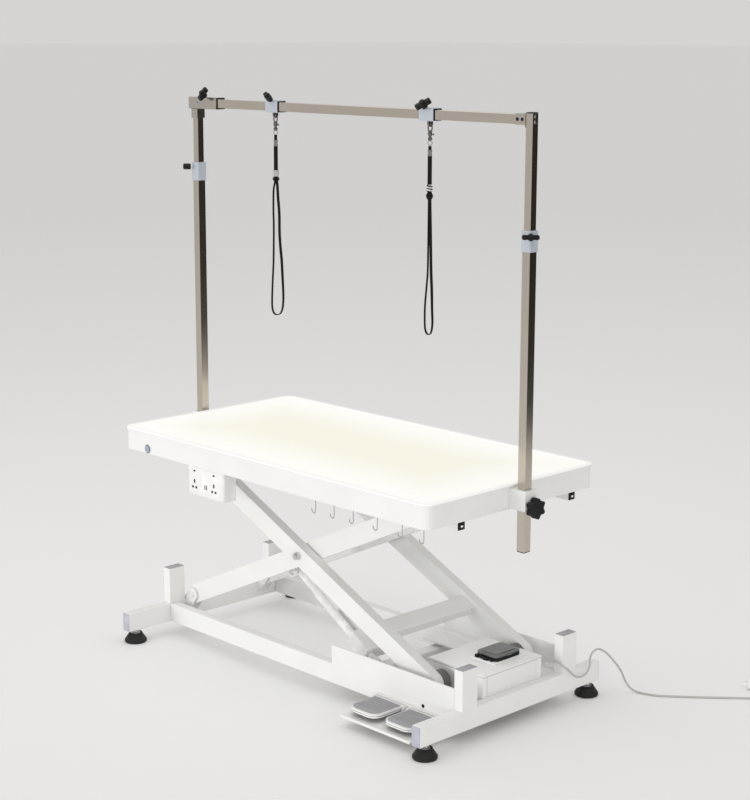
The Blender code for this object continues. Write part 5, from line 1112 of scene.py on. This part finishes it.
CRIMP = ((0.0, 1.0), (0.12, 1.06), (0.30, 1.06), (0.38, 0.92), (0.62, 0.92), (0.70, 1.06), (0.88, 1.06),
         (1.0, 1.0))
CRIMP_SIDES = 16
SWIVEL = [(0, 1.5206), (0.0024, 1.5206), (0.0030, 1.5198), (0.0030, 1.5186), (0.0018, 1.5176), (0, 1.5176)]
EDGE_ON = math.radians(58)
FLAT = math.radians(24)


def strap_twist(share):
    """Angle of the strap's width from the picture plane: steep on the left strand, flatter on the right."""
    return EDGE_ON + (FLAT - EDGE_ON) * min(1.0, max(0.0, share - 0.5) / 0.22)


def plumb(axis, top, low, shares):
    """Points on a plumb line at shares of the way down."""
    return [axis + Vector((0, 0, top + (low - top) * share)) for share in shares]


def even(count):
    """Shares from 0 to 1 in equal steps."""
    return [j / count for j in range(count + 1)]


for k, x in enumerate(LASSO_X):
    lead = "lead_" + str(k + 1)
    number = "_" + str(k + 1)
    axis = Vector((x, 0, 0))
    upright = frame_at(axis, UP)
    tab, crimped, doubled = STEMS[k]
    knot_top, knot_low = KNOTS[k]
    knot_middle = (knot_top + knot_low) / 2
    points = [axis + ACROSS * (offset / 1000.0) + Vector((0, 0, height)) for offset, height in LOOPS[k]]
    line = drawn_through(points, LEAD_STEP)
    twists = [strap_twist(share) for share in even(len(line) - 1)]
    widths = [ACROSS * math.cos(twist) + AWAY * math.sin(twist) for twist in twists]
    strap = bmesh.new()
    sweep(strap, line, oval(STRAP_WIDE / 2, 0.0014, 12, 0.55), widths)
    strap_piece = keep("lead_loop" + number, strap, WEBBING, lead)

    stem = bmesh.new()
    for (top, low), wide, deep in ((tab, 0.0044, 0.0020), (doubled, 0.0058, 0.0042)):
        sweep(stem, plumb(axis, top, low, even(12)), oval(wide, deep, 14, 0.7), ACROSS)
    lathe(stem, [(0, knot_top), (0.0045, knot_top), (0.0070, knot_top - 0.0025), (0.0078, knot_middle),
                 (0.0070, knot_low + 0.0025), (0.0040, knot_low), (0, knot_low)], upright, 18)
    for lag in (-1.8, 1.5):
        wrap = [axis + Vector((0.0070 * c, 0.0070 * s, knot_middle + 0.0030 * math.sin(angle + lag)))
                for c, s, angle in round_turn(20)]
        sweep(stem, wrap, oval(0.0018, 0.0030, 10), UP, closed=True)
    keep("lead_stem" + number, stem, WEBBING, lead)

    ferrule = bmesh.new()
    ferrule_line = plumb(axis, *crimped, [share for share, _ in CRIMP])
    sweep(ferrule, ferrule_line, oval(0.0056, 0.0038, CRIMP_SIDES, 0.6), ACROSS)
    for j, (centre, (_, reach)) in enumerate(zip(ferrule_line, CRIMP)):
        for corner in list(ferrule.verts)[CRIMP_SIDES * j:CRIMP_SIDES * (j + 1)]:
            corner.co = centre + (corner.co - centre) * reach
    keep("lead_ferrule" + number, ferrule, FERRULE_METAL, lead)

    eye = bmesh.new()
    eye_line = [axis + ACROSS * (0.0056 * c) + Vector((0, 0, EYES[k] + 0.0062 * s))
                for c, s, _ in round_turn(24)]
    sweep(eye, eye_line, oval(0.0013, 0.0013, 10), AWAY, closed=True)
    lathe(eye, SWIVEL, upright, 16)
    keep("lead_eye" + number, eye, CHROME, lead)
    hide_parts(lead)
    length = length_of(line)
    print("lead", k + 1, "loop", round(length, 3), "m")

# %% [markdown]
# The two leads differ in one thing: the left one is set with a grey slider block, the right one with a
# spiral keeper of black and white turns. A spiral follows a rule, so Geometry Nodes draws it: a spiral
# curve, a round section, and one material for each of the two threads, which start half a turn apart.

# %% Slider and spiral keeper
SLIDER_TOP = 1.4083
SLIDER_LOW = 1.3907
slider = bmesh.new()
slider_line = plumb(Vector((LASSO_X[0], 0, 0)), SLIDER_TOP, SLIDER_LOW, even(6))
for wide, deep in ((0.0078, 0.0056), (0.0084, 0.0030)):
    sweep(slider, slider_line, oval(wide, deep, 20, 0.5), ACROSS)
keep("lead_slider", slider, SLIDER_GREY, "lead_1")


def spiral_tree():
    """Geometry Nodes tree that winds one thread of a keeper."""
    grow, given = new_tree("keeper_spiral", (("Start", "Vector"), ("Turns", "Float"), ("Radius", "Float"),
                                             ("Height", "Float"), ("Thread", "Float"), ("Turn", "Float"),
                                             ("Finish", "Material")), "Spiral")
    line = grow.node("GeometryNodeCurveSpiral", inputs={
        "Resolution": 24, "Rotations": given["Turns"], "Start Radius": given["Radius"],
        "End Radius": given["Radius"], "Height": given["Height"]})
    section = grow.node("GeometryNodeCurvePrimitiveCircle",
                        inputs={"Resolution": 8, "Radius": given["Thread"]})
    thread = grow.node("GeometryNodeCurveToMesh", inputs={"Curve": line, "Profile Curve": section,
                                                          "Fill Caps": True})
    turn = grow.node("FunctionNodeAxisAngleToRotation", inputs={"Axis": UP, "Angle": given["Turn"]})
    placed = grow.node("GeometryNodeTransform", inputs={"Geometry": thread, "Translation": given["Start"],
                                                        "Rotation": turn})
    return close_tree(grow, placed, given["Finish"], "Spiral")


SPIRAL_TREE = spiral_tree()
for name, turn, material in (("keeper_black", 0.0, BLACK_PLASTIC), ("keeper_white", math.pi, WHITE_PLASTIC)):
    values = {"Start": (LASSO_X[1], 0.0, 1.3875), "Turns": 2.5, "Radius": 0.0064, "Height": 0.0170,
              "Thread": 0.0018, "Turn": turn, "Finish": material}
    made = grown(name, bpy.data.meshes.new(name + "_seed"), SPIRAL_TREE, values, "lead_2")
    print(name, len(made.data.polygons), "faces")

# %% [markdown]
# ## Floor and light
# The picture has a pale grey ground that fades into the distance, and very soft light from all around, with
# more from the front left and a little fill under the table, where the pale floor throws light back. One
# wide sheet of paper is floor and background in one, so the table can be looked at from any side: its
# colour falls off with the distance until it meets the tone of the sky. A dark card stands out of sight on
# the right: steel shows what it faces, and only mirrors see the card.

# %% Floor and card
FLOOR_REACH = 150.0
NEAR_PAPER = (0.94, 0.94, 0.935)
FAR_PAPER_SHADE = (0.85, 0.85, 0.85)
FADE_FROM = 1.5
FADE_TO = 14.0
CARD_REACH = 1.7


def sheet(name, reach, finish, where):
    """Flat square with one finish."""
    form = bmesh.new()
    bmesh.ops.create_grid(form, x_segments=1, y_segments=1, size=reach, matrix=where)
    mesh = bpy.data.meshes.new(name)
    form.to_mesh(mesh)
    form.free()
    mesh.materials.append(finish.material)
    item = added(name, mesh)
    return item


paper = Finish("studio_paper", NEAR_PAPER, 0.85)
distance = paper.node("ShaderNodeVectorMath", {"operation": "LENGTH"}, {0: paper.place()}, "Value")
# Darker with the distance: painted shade of light falling off; the paper itself is one colour.
paper.set("Base Color", paper.blend(distance.step(FADE_FROM, FADE_TO), NEAR_PAPER, FAR_PAPER_SHADE))
rays = [paper.node("ShaderNodeLightPath", output=kind) for kind in ("Is Camera Ray", "Is Glossy Ray")]
paper.set("Emission Color", rays[0] + rays[1])
paper.set("Emission Strength", 0.06)
floor = sheet("studio_floor", FLOOR_REACH, paper, Matrix.Identity(4))
card_paint = Finish("card_black", (0.024, 0.017, 0.013), 0.9)
card = sheet("dark_card", CARD_REACH, card_paint, frame_at((2.9, 2.7, 0.9), (-0.72, -0.66, 0.10)))
card.visible_camera = False
card.visible_diffuse = False
card.visible_shadow = False
card.visible_transmission = False

# %% [markdown]
# Two lamps stand low and one hangs close under the top. They are kept off what they would burn out: the
# floor, or the top and the arms, which move past the lamp when the table rises.

# %% Light
world = bpy.data.worlds.new("studio")
world.use_nodes = True
sky = world.node_tree.nodes["Background"].inputs
sky["Color"].default_value = (0.99, 0.98, 0.968, 1.0)
sky["Strength"].default_value = 0.672
bpy.context.scene.world = world


def softbox(name, place, target, size, power):
    """Large soft lamp aimed at a point."""
    lamp = bpy.data.lights.new(name, "AREA")
    lamp.shape = "RECTANGLE"
    lamp.size, lamp.size_y = size
    lamp.energy = power
    item = added(name, lamp)
    item.rotation_euler = (Vector(target) - Vector(place)).to_track_quat("-Z", "Y").to_euler()
    item.location = place
    item.visible_camera = False
    return item


def spare(lamp, items):
    """Keep a near lamp's pool of light off some items, and its glare out of the steel."""
    lamp.visible_glossy = False
    spared = bpy.data.collections.new(lamp.name + "_spares")
    for item in items:
        spared.objects.link(item)
    for entry in spared.collection_objects:
        entry.light_linking.link_state = "EXCLUDE"
    lamp.light_linking.receiver_collection = spared


PASSING_LAMP = ("lit_panel", "table_frame", "inner_arm_front", "inner_arm_rear", "outer_arm_front",
                "outer_arm_rear", "inner_tie", "outer_tie")
softbox("lamp_above", (-0.6, -0.6, 4.2), (0, 0, 0.5), (3.5, 3.5), 28)
spare(softbox("lamp_front", (-1.9, -7.9, 1.4), (0, 0, 0.5), (3.6, 2.5), 225), [floor])
spare(softbox("lamp_right", (4.5, -2.2, 0.9), (0, 0, 0.3), (2.2, 1.4), 40), [floor])
spare(softbox("lamp_under", (0, 0.03, 0.565), (0, 0.03, 0), (1.1, 0.5), 1.1),
      [NODES[name] for name in PASSING_LAMP])
bpy.context.scene.view_settings.view_transform = "Standard"
